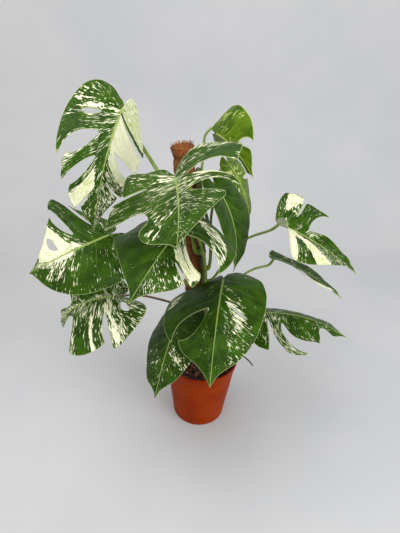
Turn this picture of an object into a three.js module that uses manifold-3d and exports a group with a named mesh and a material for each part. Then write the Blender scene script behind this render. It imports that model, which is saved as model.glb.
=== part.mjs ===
// Potted variegated monstera on a coir pole.
// Millimetres, +Z up. The origin is the centre of the pot's base, on the surface it stands on.
// The viewer's side is -Y, and +X is to the viewer's right.
import * as THREE from "three";
import { mergeVertices } from "three/addons/utils/BufferGeometryUtils.js";
import Module from "manifold-3d";

const wasm = await Module();
wasm.setup();

// Pot
const POT_HEIGHT = 197;
const POT_TOP_RADIUS = 99;
const POT_BASE_RADIUS = 72;
const POT_WALL = 2.4;
const POT_FLOOR = 3;
const RIM_HEIGHT = 16;
const RIM_STEP = 2.2;
const RIM_SLOPE = 1.5;
const LIP_BEVEL = 0.8;
const POT_SIDES = 40;
const DRAIN_RADIUS = 5;
const DRAIN_CIRCLE = 44;
const DRAIN_COUNT = 6;
const DRAIN_SIDES = 12;

// Soil
const SOIL_TOP = 178;
const SOIL_BUMP = 4;
const SOIL_RINGS = 7;
const SOIL_SIDES = 40;
const SOIL_INSET = 0.4;
const CLOD_EDGE = 0.95;
const CLOD_WAVES = [0.21, 0.19, 0.43, 0.37];
const CLOD_SHIFT = [1.3, 0.6];
const CLOD_DETAIL = 0.5;
const FIT_GAP = 0.3;
const HOLE_RISE = 60;
const HOLE_SIDES = 12;
const HOLE_STEPS = 6;
const HOLE_DEPTH = 0.03;

// Coir pole: its foot is in the soil and it leans to the left
const POLE_RADIUS = 23;
const POLE_FOOT = [16, -5, 20];
const POLE_TOP = [-67, 20, 758];
const POLE_SIDES = 20;
const POLE_RINGS = 16;
const POLE_SHAG = 0.8;
const SHAG_TURNS = [5, 3];
const SHAG_RISES = [0.11, -0.07];

// Climbing stem
const STEM_RADIUS = 7;
const STEM_SIDES = 8;
const STEM_FOOT_HEIGHT = 120;
const STEM_TOP_HEIGHT = 715;
const STEM_STEPS = 24;
const STEM_WAYPOINTS = 9;
const STEM_START_TURN = -58;
const STEM_END_TURN = -14;

// Air root
const ROOT_RADIUS = 2;
const ROOT_SIDES = 6;
const ROOT_STEPS = 12;
const ROOT_NODE = 232;
const ROOT_WAY = [[52, -45, 236], [92, -72, 262], [109, -86, 262], [124, -98, 250]];

// Leaves
const BLADE_THICKNESS = 0.9;
const RIB_EXTRA = 0.7;
const ROWS = [0, 0.28, 0.5, 0.7, 0.86, 1];
const COLUMN_SPAN = 0.11;
const VEIN_START = 0.36;
const VEIN_POWER = 1.5;
const VEIN_BOW = 0.1;
const BOW_START = 4;
const WELD_DISTANCE = 0.01;
const FINE_WELD = 0.001;
const CORNER_ROUND = 0.07;
const CORNER_HOOK = 0.08;
const CUT_END = 0.35;
const ROLL_FROM = 0.25;
const ROLL_SPAN = 0.4;
const STALK_SIDES = 6;
const STALK_STEPS = 18;
const STALK_GUIDE = [2.2, 1.6];
const KNEE_LENGTH = 3;
const KNEE_BEND = 7.5;
const SEAT_PASSES = 6;
const SEAT_SEARCH = 20;

// Half of a leaf's outline, from the notch at its base to its tip.
// The first number counts half widths, the second counts lengths.
const OUTLINE = [
  [0, -0.02], [0.11, -0.19], [0.42, -0.235], [0.8, -0.13], [1, 0.11],
  [0.99, 0.36], [0.84, 0.6], [0.55, 0.79], [0.2, 0.91], [0, 1],
];

// Each leaf: where its blade joins the stalk, where its tip is, the way its upper face looks
// (bearing and height, degrees), and for its right and left sides, seen from above with the tip
// away: half width (mm), fold from the plane and curl to the margin (degrees), and the basal
// lobe's extra roll. droop bends the rib, sway bows it sideways, notch scales the basal lobes.
// reshape moves points of the outline on the right and left sides: [which, across, along].
// A cut is [place along the outline, inner end, outer end, width, share open at the margin,
// shift along the outline from its inner to its outer end]. reach scales each lobe between cuts.
// node is the height at which its stalk leaves the stem, and stalk its way from there. approach
// is the angle at which it meets the blade: 0 is square from below, 90 in line with the rib.
const LEAVES = {
  crown: {
    base: [-185, 6, 832], tip: [-240, -96, 616], face: [-93, 16], droop: 70, sway: 0,
    notch: 1, half: [98, 108], fold: [14, -59], curl: [17, 8], roll: [2, -4],
    reshape: [
      [[1, -0.02, 0.12], [2, 0, 0.05], [6, -0.08, 0.02]],
      [],
    ],
    reach: [[1, 1, 1, 1, 1], [1, 1, 1, 0.96, 1]],
    cuts: [
      [[0.47, 0.34, 0.72, 0.04, 0, 0], [0.485, 0.1, 1, 0.03, 1, 0]],
      [[0.585, 0.28, 1, 0.085, 0.05, 0.035], null],
      [[0.705, 0.3, 1, 0.08, 0.5, 0.01], [0.635, 0.16, 1, 0.085, 0.6, 0]],
      [[0.835, 0.5, 1, 0.015, 1, 0], [0.765, 0.2, 1, 0.012, 1, 0]],
    ],
    node: 520,
    stalk: [
      [-45, -30, 590], [-86, -18, 655], [-122, 24, 704], [-141, 56, 722], [-163, 60, 756],
      [-180, 44, 790],
    ],
    stalkRadius: 4.2, approach: 10,
  },
  west: {
    base: [-216, -59, 584], tip: [-377, -108, 514], face: [-80, 16], droop: 80, sway: 0.04,
    notch: 1, half: [136, 100], fold: [-44, 25], curl: [2, 25], roll: [0, 0],
    reshape: [
      [[3, 0, 0.06], [4, 0.05, 0.03], [5, 0.1, 0], [6, 0.1, 0], [7, -0.14, -0.03], [8, -0.06, 0]],
      [],
    ],
    reach: [[1, 1, 1, 1], [1, 1, 1, 1]],
    cuts: [
      [[0.4, 0.3, 1, 0.05, 1, 0], null],
      [[0.62, 0.26, 1, 0.09, 0.1, 0.06], null],
      [[0.765, 0.28, 0.86, 0.06, 0, 0], null],
    ],
    node: 420, stalk: [[-60, -32, 455], [-120, -20, 500], [-180, -15, 540]],
    stalkRadius: 3.4, approach: 20,
  },
  front: {
    base: [-80, -96, 728], tip: [-71, -304, 690], face: [-115, 51], droop: 8, sway: -0.03,
    notch: 1, half: [146, 136], fold: [6, 36], curl: [28, 38], roll: [0, 0],
    reshape: [
      [[1, 0.02, -0.03], [2, 0, -0.08], [3, -0.03, -0.34], [4, 0, -0.06], [7, -0.1, 0.1], [8, 0, 0.04]],
      [[1, 0.02, 0.05], [2, 0.03, 0.05], [3, 0, 0.1], [5, -0.1, 0], [7, 0.22, 0], [8, 0.26, 0]],
    ],
    reach: [[0.71, 1, 1], [1, 1, 1]],
    cuts: [
      [[0.45, 0.38, 1, 0.016, 1, 0], [0.535, 0.22, 1, 0.12, 0.7, 0.09]],
      [[0.685, 0.52, 1, 0.11, 1.3, 0], [0.67, 0.18, 1, 0.12, 0.35, 0.085]],
    ],
    node: 480, stalk: [[2, -22, 560], [-18, -30, 640], [-48, -55, 690]],
    stalkRadius: 3.6, approach: 20,
  },
  heart: {
    base: [-50, -97, 644], tip: [-148, -284, 571], face: [-108, 51], droop: 58, sway: -0.04,
    notch: 1, half: [141, 116], fold: [-18, 12], curl: [16, 48], roll: [0, -10],
    reshape: [
      [[4, -0.05, 0.03], [5, 0.11, -0.03], [6, -0.07, 0], [7, -0.13, 0], [8, -0.05, 0]],
      [],
    ],
    reach: [[1, 1, 1], [1, 1, 1.04]],
    cuts: [
      [null, [0.62, 0.2, 1, 0.16, 0.4, 0.035]],
      [null, [0.745, 0.45, 1, 0.012, 1, 0]],
    ],
    node: 400, stalk: [[-4, -24, 470], [-16, -36, 540], [-36, -60, 600]],
    stalkRadius: 3.6, approach: 20,
  },
  plain: {
    base: [9, -13, 680], tip: [56, -65, 510], face: [-31, 18], droop: 43, sway: -0.04,
    notch: 0.6, half: [69, 78], fold: [19, 13], curl: [24, 23], roll: [0, 0],
    reshape: [[], []],
    reach: [[1], [1]],
    cuts: [],
    node: 545, stalk: [[2, 2, 600], [4, 14, 650]],
    stalkRadius: 3, approach: 20,
  },
  low_front: {
    base: [30, -94, 502], tip: [-5, -313, 409], face: [-94, 47], droop: 69, sway: 0.014,
    notch: 1, half: [131, 98], fold: [-30, 2], curl: [7, 26], roll: [0, 10],
    reshape: [
      [[7, 0.05, 0]],
      [],
    ],
    reach: [[1, 1], [1, 1]],
    cuts: [
      [[0.69, 0.2, 1, 0.16, 0.05, 0.04], [0.625, 0.26, 0.68, 0.022, 0, 0]],
    ],
    node: 290, stalk: [[24, -50, 370], [30, -62, 430]],
    stalkRadius: 3.4, approach: 20,
  },
  low_left: {
    base: [-67, -63, 369], tip: [-113, -209, 263], face: [-132, 21], droop: 34, sway: -0.04,
    notch: 1, half: [87, 86], fold: [-5, 10], curl: [23, 25], roll: [0, 0],
    reshape: [
      [[4, 0.08, 0]],
      [],
    ],
    reach: [[1], [1]],
    cuts: [],
    node: 215, stalk: [[-20, -42, 275], [-50, -36, 325]],
    stalkRadius: 3, approach: 20,
  },
  south_west: {
    base: [-209, -62, 428], tip: [-346, -59, 349], face: [-100, 35], droop: 74, sway: 0.08,
    notch: 0.8, half: [84, 119], fold: [5, 23], curl: [30, 6], roll: [0, 31],
    reshape: [
      [],
      [[5, 0.05, 0], [6, 0.12, 0], [7, 0.14, 0]],
    ],
    reach: [[1, 1, 1, 1], [1, 1, 1, 1]],
    cuts: [
      [null, [0.35, 0.25, 0.62, 0.1, 0, 0]],
      [[0.55, 0.3, 1, 0.05, 0.6, 0], [0.52, 0.32, 1, 0.05, 0.5, 0]],
      [[0.77, 0.26, 1, 0.2, 1.1, 0], [0.81, 0.28, 1, 0.13, 0.9, 0]],
    ],
    node: 320, stalk: [[-20, -33, 346], [-62, -22, 374], [-120, -14, 390], [-175, -26, 408]],
    stalkRadius: 2.8, approach: 20,
  },
  east: {
    base: [153, -12, 600], tip: [344, -40, 495], face: [-73, 77], droop: 12, sway: -0.04,
    notch: 0.25, half: [104, 113], fold: [19, 20], curl: [34, 18], roll: [45, -3],
    reshape: [
      [[5, -0.02, 0], [6, -0.2, 0], [7, -0.3, 0], [8, -0.15, 0]],
      [[7, -0.3, 0], [8, -0.05, 0]],
    ],
    reach: [[1, 1, 1], [1, 1, 1]],
    cuts: [
      [null, [0.5, 0.36, 1, 0.016, 1, 0]],
      [null, [0.635, 0.2, 1, 0.14, 0.9, 0.075]],
    ],
    node: 440, stalk: [[45, -12, 516], [46, -6, 525], [90, -4, 558]],
    stalkRadius: 3, approach: 20,
  },
  side: {
    base: [163, 20, 496], tip: [325, -39, 424], face: [-74, 99], droop: 26, sway: 0.01,
    notch: 0.3, half: [38, 50], fold: [22, 12], curl: [22, 28], roll: [0, 0],
    reshape: [
      [[3, -0.2, 0], [4, -0.25, 0], [5, 0, 0], [6, 0.45, 0], [7, 0.45, 0]],
      [[5, -0.15, 0], [6, -0.2, 0], [7, -0.1, 0]],
    ],
    reach: [[1, 1], [1, 1]],
    cuts: [
      [[0.6, 0.4, 1, 0.04, 0.6, 0], null],
    ],
    node: 370, stalk: [[60, 0, 428], [115, 14, 464]],
    stalkRadius: 2.8, approach: 20,
  },
  south_east: {
    base: [144, 10, 335], tip: [350, -63, 323], face: [-84, 103], droop: 49, sway: 0.03,
    notch: 0.6, half: [102, 97], fold: [-19, -7], curl: [38, 22], roll: [0, 8],
    reshape: [
      [[5, 0.08, 0], [6, 0.1, 0]],
      [],
    ],
    reach: [[1, 1.03, 0.9, 1], [1, 1, 1, 1]],
    cuts: [
      [[0.47, 0.2, 1, 0.04, 2.6, 0.04], null],
      [[0.56, 0.3, 1, 0.06, 0.5, 0.155], [0.62, 0.4, 1, 0.04, 0.6, 0]],
      [[0.82, 0.4, 1, 0.1, 1.1, 0], null],
    ],
    node: 250, stalk: [[60, -14, 272], [105, 0, 296]],
    stalkRadius: 3, approach: 20,
  },
  new_top: {
    base: [4, 57, 777], tip: [74, -53, 722], face: [-111, -4], droop: 35, sway: -0.1,
    notch: 0.8, half: [73, 70], fold: [-40, 6], curl: [49, 24], roll: [0, -5],
    reshape: [
      [],
      [[3, 0.05, -0.05], [4, 0.05, -0.02]],
    ],
    reach: [[1, 1], [1, 1]],
    cuts: [
      [null, [0.73, 0.34, 1, 0.08, 0.6, 0.045]],
    ],
    node: 690, stalk: [[-20, 44, 735], [-17, 70, 770], [2, 87, 784]],
    stalkRadius: 2.6, approach: 72,
  },
  back: {
    base: [45, 79, 702], tip: [107, 99, 565], face: [-37, 45], droop: 28, sway: 0,
    notch: 0.9, half: [50, 74], fold: [11, 2], curl: [26, 24], roll: [0, 0],
    reshape: [[], []],
    reach: [[1, 1], [1, 1]],
    cuts: [
      [[0.6, 0.4, 1, 0.04, 0.6, 0], [0.6, 0.4, 1, 0.04, 0.6, 0]],
    ],
    node: 620, stalk: [[-4, 40, 650], [14, 62, 676]],
    stalkRadius: 2.6, approach: 20,
  },
};

// Finishes
const NEW_LEAVES = ["new_top", "back"];
const FINISH = {
  pot: [0xb5481d, 0.55], soil: [0x2d1f17, 0.95], coir: [0x8a4a26, 0.95],
  stem: [0x5c6f3a, 0.6], root: [0x4a3222, 0.8], stalk: [0x6d8f3c, 0.5],
  blade: [0x2f5a26, 0.4], newBlade: [0x6f9a20, 0.4],
};

const rad = THREE.MathUtils.degToRad;
const vector = (list) => new THREE.Vector3(...list);

function named(name, geometry, [color, roughness]) {
  const material = new THREE.MeshStandardMaterial({ color, roughness, metalness: 0 });
  const mesh = new THREE.Mesh(geometry, material);
  mesh.name = name;
  return mesh;
}

// Joining and cutting
function bare(geometry) {
  const copy = geometry.clone();
  for (const key of Object.keys(copy.attributes)) {
    if (key !== "position") copy.deleteAttribute(key);
  }
  return mergeVertices(copy, FINE_WELD);
}

function solid(geometry) {
  const merged = bare(geometry);
  return new wasm.Manifold(new wasm.Mesh({
    numProp: 3,
    vertProperties: new Float32Array(merged.attributes.position.array),
    triVerts: new Uint32Array(merged.index.array),
  }));
}

function geometryOf(body) {
  const mesh = body.getMesh();
  const geometry = new THREE.BufferGeometry();
  geometry.setAttribute("position", new THREE.BufferAttribute(mesh.vertProperties, 3));
  geometry.setIndex(new THREE.BufferAttribute(mesh.triVerts, 1));
  return geometry;
}

function lathe(points, sides) {
  const profile = points.map(([r, z]) => new THREE.Vector2(r, z));
  return new THREE.LatheGeometry(profile, sides).rotateX(Math.PI / 2);
}

// A smooth rise from 0 to 1
function ease(value) {
  const x = Math.min(Math.max(value, 0), 1);
  return x * x * (3 - 2 * x);
}

// The outline's points with the changes of one side of a leaf
function outlineOf(leaf, which) {
  const outline = OUTLINE.map((point) => [...point]);
  for (const [place, across, along] of leaf.reshape[which]) {
    outline[place][0] += across;
    outline[place][1] += along;
  }
  return outline;
}

// The point of an outline at s, on a smooth curve through its listed points
function outlineAt(outline, s, notch) {
  const last = outline.length - 1;
  const place = Math.min(Math.max(s, 0), 1) * last;
  const i = Math.min(Math.floor(place), last - 1);
  const t = place - i;
  const pick = (k, axis) => outline[Math.min(Math.max(k, 0), last)][axis];
  const [x, y] = [0, 1].map((axis) => {
    const [a, b, c, d] = [-1, 0, 1, 2].map((k) => pick(i + k, axis));
    return 0.5 * (2 * b + (c - a) * t + (2 * a - 5 * b + 4 * c - d) * t * t
      + (3 * b - a - 3 * c + d) * t * t * t);
  });
  return [x, y < 0 ? y * notch : y];
}

// Where the side vein that ends at s leaves the rib, in lengths
function veinRoot(s) {
  return Math.max(0, (s - VEIN_START) / (1 - VEIN_START)) ** VEIN_POWER;
}

// The flat blade's point a share t of the way along a side vein, in mm
function flatPoint(outline, s, root, t, half, length, notch) {
  const [x, y] = outlineAt(outline, s, notch);
  const end = [x * half, y * length];
  const start = [0, veinRoot(root) * length];
  const reach = Math.hypot(end[0] - start[0], end[1] - start[1]);
  const bow = VEIN_BOW * reach * Math.min(s * BOW_START, 1);
  const middle = [(start[0] + end[0]) / 2, (start[1] + end[1]) / 2 + bow];
  const mix = (axis) => start[axis] * (1 - t) ** 2 + 2 * middle[axis] * t * (1 - t)
    + end[axis] * t * t;
  return [mix(0), mix(1)];
}

// A leaf's axes at its base, and the length of its rib
function leafFrame(leaf) {
  const base = vector(leaf.base);
  const along = vector(leaf.tip).sub(base);
  const chord = along.length();
  along.normalize();
  const [bearing, height] = leaf.face.map(rad);
  const up = new THREE.Vector3(
    Math.cos(height) * Math.cos(bearing),
    Math.cos(height) * Math.sin(bearing),
    Math.sin(height),
  );
  up.addScaledVector(along, -up.dot(along)).normalize();
  const turn = rad(leaf.droop) / 2;
  const forward = along.clone().multiplyScalar(Math.cos(turn)).addScaledVector(up, Math.sin(turn));
  const normal = up.clone().multiplyScalar(Math.cos(turn)).addScaledVector(along, -Math.sin(turn));
  const right = new THREE.Vector3().crossVectors(forward, normal);
  return { base, forward, normal, right, length: chord * turn / Math.sin(turn) };
}

// Bends a flat point (u across, v along) into the leaf's real shape
function bend(leaf, frame, side, u, v) {
  const which = side > 0 ? 0 : 1;
  const share = v / frame.length;
  const droop = rad(leaf.droop) / frame.length;
  const turn = droop * v;
  const normal = frame.normal.clone().multiplyScalar(Math.cos(turn))
    .addScaledVector(frame.forward, Math.sin(turn));
  const fold = rad(leaf.fold[which])
    + rad(leaf.roll[which]) * ease((ROLL_FROM - share) / ROLL_SPAN);
  const curl = rad(leaf.curl[which]) / leaf.half[which];
  const across = (Math.sin(fold) - Math.sin(fold - curl * u)) / curl;
  const rise = (Math.cos(fold - curl * u) - Math.cos(fold)) / curl;
  const bow = leaf.sway * frame.length * 4 * share * (1 - share);
  return frame.base.clone()
    .addScaledVector(frame.forward, Math.sin(turn) / droop)
    .addScaledVector(frame.normal, (Math.cos(turn) - 1) / droop)
    .addScaledVector(frame.right, side * across + bow)
    .addScaledVector(normal, rise);
}

// How far t is from a cut's inner end to its outer end
function cutShare(cut, t) {
  const [, inner, outer] = cut;
  return Math.min(Math.max((t - inner) / Math.max(outer - inner, 1e-6), 0), 1);
}

// The place of a cut's middle at t, along the outline
function cutPlace(cut, t) {
  return cut[0] + cut[5] * cutShare(cut, t) ** 2;
}

// A cut's half width at t, in the outline's measure
function cutHalfWidth(cut, t) {
  const [, inner, outer, width, open] = cut;
  if (width === 0 || t <= inner || t >= outer && outer < 1) return 0;
  const x = cutShare(cut, t);
  const round = Math.sqrt(Math.max(0, 1 - (1 - Math.min(x / CUT_END, 1)) ** 2));
  const taper = x < CUT_END ? 1 : 1 + (open - 1) * ((x - CUT_END) / (1 - CUT_END)) ** 2;
  return 0.5 * width * round * taper;
}

// The columns of one side: the same count and the same roots on both sides
function columns(leaf, which) {
  const pairs = leaf.cuts.map((pair) => pair.map((cut, k) => {
    const other = pair[1 - k];
    return cut ?? [other[0], other[1], 1, 0, 0, 0];
  }));
  const edge = (s) => [s, 1, 1, 0, 0, 0];
  const knots = [[edge(0), edge(0)], ...pairs, [edge(1), edge(1)]];
  const list = [];
  for (let k = 0; k + 1 < knots.length; k += 1) {
    const [near, far] = [knots[k], knots[k + 1]];
    const root = [near, far].map((pair) => (pair[0][0] + pair[1][0]) / 2);
    const count = Math.max(2, Math.round((root[1] - root[0]) / COLUMN_SPAN));
    for (let i = 0; i <= count; i += 1) {
      const q = i / count;
      list.push({
        q, near: near[which], far: far[which],
        root: root[0] + (root[1] - root[0]) * q,
        reach: leaf.reach[which][k],
        lobe: k,
      });
    }
  }
  return list;
}

// The column's place on the flat leaf at row t: lobes end round at the near corner, and hooked
// at the far one
function columnPoint(column, outline, t, half, length, notch) {
  const { q, near, far, reach } = column;
  const from = cutPlace(near, t) + cutHalfWidth(near, t);
  const to = cutPlace(far, t) - cutHalfWidth(far, t);
  const scaled = t * (1 + (reach - 1) * ((1 - q) * cutShare(near, t) + q * cutShare(far, t)));
  const ramp = (cut) => cut[3] > 0 && cut[2] === 1 ? cutShare(cut, t) ** 2 : 0;
  const shorten = CORNER_ROUND * (1 - q) ** 3 * ramp(near);
  const stretch = CORNER_HOOK * q ** 3 * ramp(far);
  const place = scaled - shorten + stretch;
  return flatPoint(outline, from + (to - from) * q, column.root, place, half, length, notch);
}

// One blade: a bent sheet of its true outline, thickened to one closed solid
function blade(leaf) {
  const frame = leafFrame(leaf);
  const points = [];
  const ribs = [];
  const faces = [];
  for (const side of [1, -1]) {
    const which = side > 0 ? 0 : 1;
    const outline = outlineOf(leaf, which);
    const half = leaf.half[which];
    const list = columns(leaf, which);
    const start = points.length;
    for (const column of list) {
      for (const t of ROWS) {
        const [u, v] = columnPoint(column, outline, t, half, frame.length, leaf.notch);
        points.push(bend(leaf, frame, side, Math.max(u, 0), v));
        ribs.push(t === 0 ? RIB_EXTRA * (1 - column.root) : 0);
      }
    }
    for (let i = 0; i + 1 < list.length; i += 1) {
      if (list[i].lobe !== list[i + 1].lobe) continue;
      for (let j = 0; j + 1 < ROWS.length; j += 1) {
        const a = start + i * ROWS.length + j;
        const b = a + ROWS.length;
        const quad = [[a, a + 1, b + 1], [a, b + 1, b]];
        for (const face of quad) faces.push(side > 0 ? face.reverse() : face);
      }
    }
  }
  return thicken(points, faces, ribs);
}

// Merges the sheet's equal points, drops its empty triangles and gives it a thickness, with
// extra under the rib
function thicken(points, faces, ribs) {
  const sheet = new THREE.BufferGeometry().setFromPoints(points);
  sheet.setAttribute("rib", new THREE.BufferAttribute(new Float32Array(ribs), 1));
  sheet.setIndex(faces.flat());
  const merged = mergeVertices(sheet, WELD_DISTANCE);
  const at = merged.attributes.position;
  const point = (i) => new THREE.Vector3().fromBufferAttribute(at, i);
  const triangles = [];
  for (let i = 0; i < merged.index.count; i += 3) {
    const [a, b, c] = [0, 1, 2].map((k) => merged.index.array[i + k]);
    if (a !== b && b !== c && c !== a) triangles.push([a, b, c]);
  }
  const normals = Array.from({ length: at.count }, () => new THREE.Vector3());
  for (const [a, b, c] of triangles) {
    const normal = point(b).sub(point(a)).cross(point(c).sub(point(a)));
    for (const i of [a, b, c]) normals[i].add(normal);
  }
  const top = [];
  const below = [];
  for (let i = 0; i < at.count; i += 1) {
    top.push(point(i));
    const depth = BLADE_THICKNESS + merged.attributes.rib.getX(i);
    below.push(point(i).addScaledVector(normals[i].normalize(), -depth));
  }
  const edges = new Map();
  for (const [a, b, c] of triangles) {
    for (const [from, to] of [[a, b], [b, c], [c, a]]) {
      if (!edges.delete(`${to}_${from}`)) edges.set(`${from}_${to}`, [from, to]);
    }
  }
  const count = at.count;
  const index = [];
  for (const [a, b, c] of triangles) {
    index.push(a, b, c);
    index.push(c + count, b + count, a + count);
  }
  for (const [a, b] of edges.values()) {
    index.push(a, a + count, b + count);
    index.push(a, b + count, b);
  }
  const body = new THREE.BufferGeometry().setFromPoints([...top, ...below]);
  body.setIndex(index);
  return body;
}

// A round stalk along a smooth curve
function tube(points, radius, sides, steps) {
  const shape = new THREE.Shape();
  for (let i = 0; i < sides; i += 1) {
    const turn = 2 * Math.PI * i / sides;
    const [x, y] = [radius * Math.cos(turn), radius * Math.sin(turn)];
    if (i === 0) shape.moveTo(x, y);
    else shape.lineTo(x, y);
  }
  const curve = new THREE.CatmullRomCurve3(points, false, "centripetal");
  return new THREE.ExtrudeGeometry(shape, { steps, bevelEnabled: false, extrudePath: curve });
}

// A stalk leaves the stem at its node's height, and its end lies against the blade's underside,
// just inside the notch. rise and drop are how far its ends' middles are from stem and blade.
function stalkPoints(leaf, stem, rise, drop) {
  const radius = leaf.stalkRadius;
  const share = (leaf.node - STEM_FOOT_HEIGHT) / (STEM_TOP_HEIGHT - STEM_FOOT_HEIGHT);
  const node = stem.getPoint(share);
  const out = vector(leaf.stalk[0]).sub(node).setZ(0).normalize();
  const start = node.clone().addScaledVector(out, STEM_RADIUS + rise);
  const guide = start.clone().addScaledVector(out, STALK_GUIDE[0] * radius)
    .add(new THREE.Vector3(0, 0, STALK_GUIDE[1] * radius));
  const frame = leafFrame(leaf);
  const lean = rad(leaf.approach);
  const seat = bend(leaf, frame, 1, 0, radius).addScaledVector(frame.normal, -drop);
  const back = frame.normal.clone().multiplyScalar(-Math.cos(lean))
    .addScaledVector(frame.forward, -Math.sin(lean));
  const lead = seat.clone().addScaledVector(back, KNEE_LENGTH * radius);
  const knee = seat.clone().addScaledVector(back, KNEE_BEND * radius);
  return [start, guide, ...leaf.stalk.map(vector), knee, lead, seat];
}

// Moves a stalk's ends until each is the fit gap from what it joins
function seatedStalk(leaf, stem, stemBody, bladeBody) {
  const radius = leaf.stalkRadius;
  let rise = radius;
  let drop = BLADE_THICKNESS + RIB_EXTRA + 2 * radius;
  let stalk = null;
  for (let pass = 0; pass < SEAT_PASSES; pass += 1) {
    stalk = tube(stalkPoints(leaf, stem, rise, drop), radius, STALK_SIDES, STALK_STEPS);
    const body = solid(stalk);
    rise += FIT_GAP - body.minGap(stemBody, SEAT_SEARCH);
    drop += FIT_GAP - body.minGap(bladeBody, SEAT_SEARCH);
  }
  return stalk;
}

// The middle of the pole at a height
function poleAxis(height) {
  const share = (height - POLE_FOOT[2]) / (POLE_TOP[2] - POLE_FOOT[2]);
  return vector(POLE_FOOT).lerp(vector(POLE_TOP), share);
}

// A round post with a shaggy face
function post(radius, rings, sides, shag, from, to) {
  const length = to.distanceTo(from);
  const geometry = new THREE.CylinderGeometry(radius, radius, length, sides, rings);
  const at = bare(geometry);
  const place = at.attributes.position;
  for (let i = 0; i < place.count; i += 1) {
    const [x, y, z] = [place.getX(i), place.getY(i), place.getZ(i)];
    const turn = Math.atan2(z, x);
    const [first, second] = SHAG_TURNS.map((count, k) => count * turn + y * SHAG_RISES[k]);
    const swell = shag * Math.sin(first) * Math.cos(second);
    const edge = Math.hypot(x, z) > radius / 2 ? 1 + swell / radius : 1;
    place.setXYZ(i, x * edge, y, z * edge);
  }
  at.translate(0, length / 2, 0);
  const turn = new THREE.Quaternion().setFromUnitVectors(
    new THREE.Vector3(0, 1, 0),
    to.clone().sub(from).normalize(),
  );
  return at.applyQuaternion(turn).translate(from.x, from.y, from.z);
}

// Climbing stem: it leans on the pole and turns a little round it
function stemPoints() {
  const reach = POLE_RADIUS + POLE_SHAG + STEM_RADIUS + FIT_GAP;
  const points = [];
  for (let i = 0; i < STEM_WAYPOINTS; i += 1) {
    const share = i / (STEM_WAYPOINTS - 1);
    const height = THREE.MathUtils.lerp(STEM_FOOT_HEIGHT, STEM_TOP_HEIGHT, share);
    const turn = rad(THREE.MathUtils.lerp(STEM_START_TURN, STEM_END_TURN, share));
    const axis = poleAxis(height);
    points.push(axis.add(new THREE.Vector3(reach * Math.cos(turn), reach * Math.sin(turn), 0)));
  }
  return points;
}

// Pot
function potBody() {
  const slope = (POT_TOP_RADIUS - RIM_STEP - POT_BASE_RADIUS) / POT_HEIGHT;
  const wallAt = (z) => POT_BASE_RADIUS + slope * z;
  const rimBottom = POT_HEIGHT - RIM_HEIGHT;
  const profile = [
    [0, 0], [POT_BASE_RADIUS, 0], [wallAt(rimBottom), rimBottom],
    [wallAt(rimBottom) + RIM_STEP, rimBottom + RIM_SLOPE], [POT_TOP_RADIUS, POT_HEIGHT - RIM_SLOPE],
    [POT_TOP_RADIUS - LIP_BEVEL, POT_HEIGHT], [POT_TOP_RADIUS - POT_WALL - RIM_STEP, POT_HEIGHT],
    [wallAt(POT_FLOOR) - POT_WALL, POT_FLOOR], [0, POT_FLOOR],
  ];
  let body = solid(lathe(profile, POT_SIDES));
  for (let i = 0; i < DRAIN_COUNT; i += 1) {
    const turn = 2 * Math.PI * i / DRAIN_COUNT;
    const length = 4 * POT_FLOOR;
    const hole = new THREE.CylinderGeometry(DRAIN_RADIUS, DRAIN_RADIUS, length, DRAIN_SIDES)
      .rotateX(Math.PI / 2)
      .translate(DRAIN_CIRCLE * Math.cos(turn), DRAIN_CIRCLE * Math.sin(turn), 0);
    body = body.subtract(solid(hole));
  }
  return geometryOf(body);
}

// How far the soil's clods stand up at a place, as a share of their usual height
function clodHeight(x, y) {
  const [wide, deep, fine, cross] = CLOD_WAVES;
  const large = Math.sin(x * wide + CLOD_SHIFT[0]) * Math.cos(y * deep - CLOD_SHIFT[1]);
  return large + CLOD_DETAIL * Math.sin(x * fine - y * cross);
}

// Soil: a plug that fills the pot, its top heaped in small clods, with plain holes for what
// stands in it
function soilBody(stemPath) {
  const slope = (POT_TOP_RADIUS - RIM_STEP - POT_BASE_RADIUS) / POT_HEIGHT;
  const inner = (z) => POT_BASE_RADIUS + slope * z - POT_WALL - FIT_GAP - SOIL_INSET;
  const floor = POT_FLOOR + FIT_GAP;
  const profile = [[0, floor], [inner(floor), floor], [inner(SOIL_TOP), SOIL_TOP]];
  for (let i = SOIL_RINGS - 1; i >= 0; i -= 1) {
    profile.push([inner(SOIL_TOP) * i / SOIL_RINGS, SOIL_TOP]);
  }
  const geometry = bare(lathe(profile, SOIL_SIDES));
  const place = geometry.attributes.position;
  for (let i = 0; i < place.count; i += 1) {
    const [x, y, z] = [place.getX(i), place.getY(i), place.getZ(i)];
    const edge = Math.hypot(x, y) / (inner(SOIL_TOP) + SOIL_INSET);
    if (z > SOIL_TOP - 1 && edge < CLOD_EDGE) {
      place.setZ(i, z + SOIL_BUMP * clodHeight(x, y) * Math.sqrt(1 - edge));
    }
  }
  const holeFoot = vector(POLE_FOOT).setZ(POLE_FOOT[2] - FIT_GAP);
  const holeRadius = POLE_RADIUS + POLE_SHAG + FIT_GAP;
  const poleHole = post(holeRadius, 1, POLE_SIDES, 0, holeFoot, poleAxis(SOIL_TOP + HOLE_RISE));
  const low = stemPath[0].clone().lerp(stemPath[1], -HOLE_DEPTH);
  const stemWay = [low, stemPath[1], stemPath[2]];
  const stemHole = tube(stemWay, STEM_RADIUS + 2 * FIT_GAP, HOLE_SIDES, HOLE_STEPS);
  return geometryOf(solid(geometry).subtract(solid(poleHole)).subtract(solid(stemHole)));
}

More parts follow.
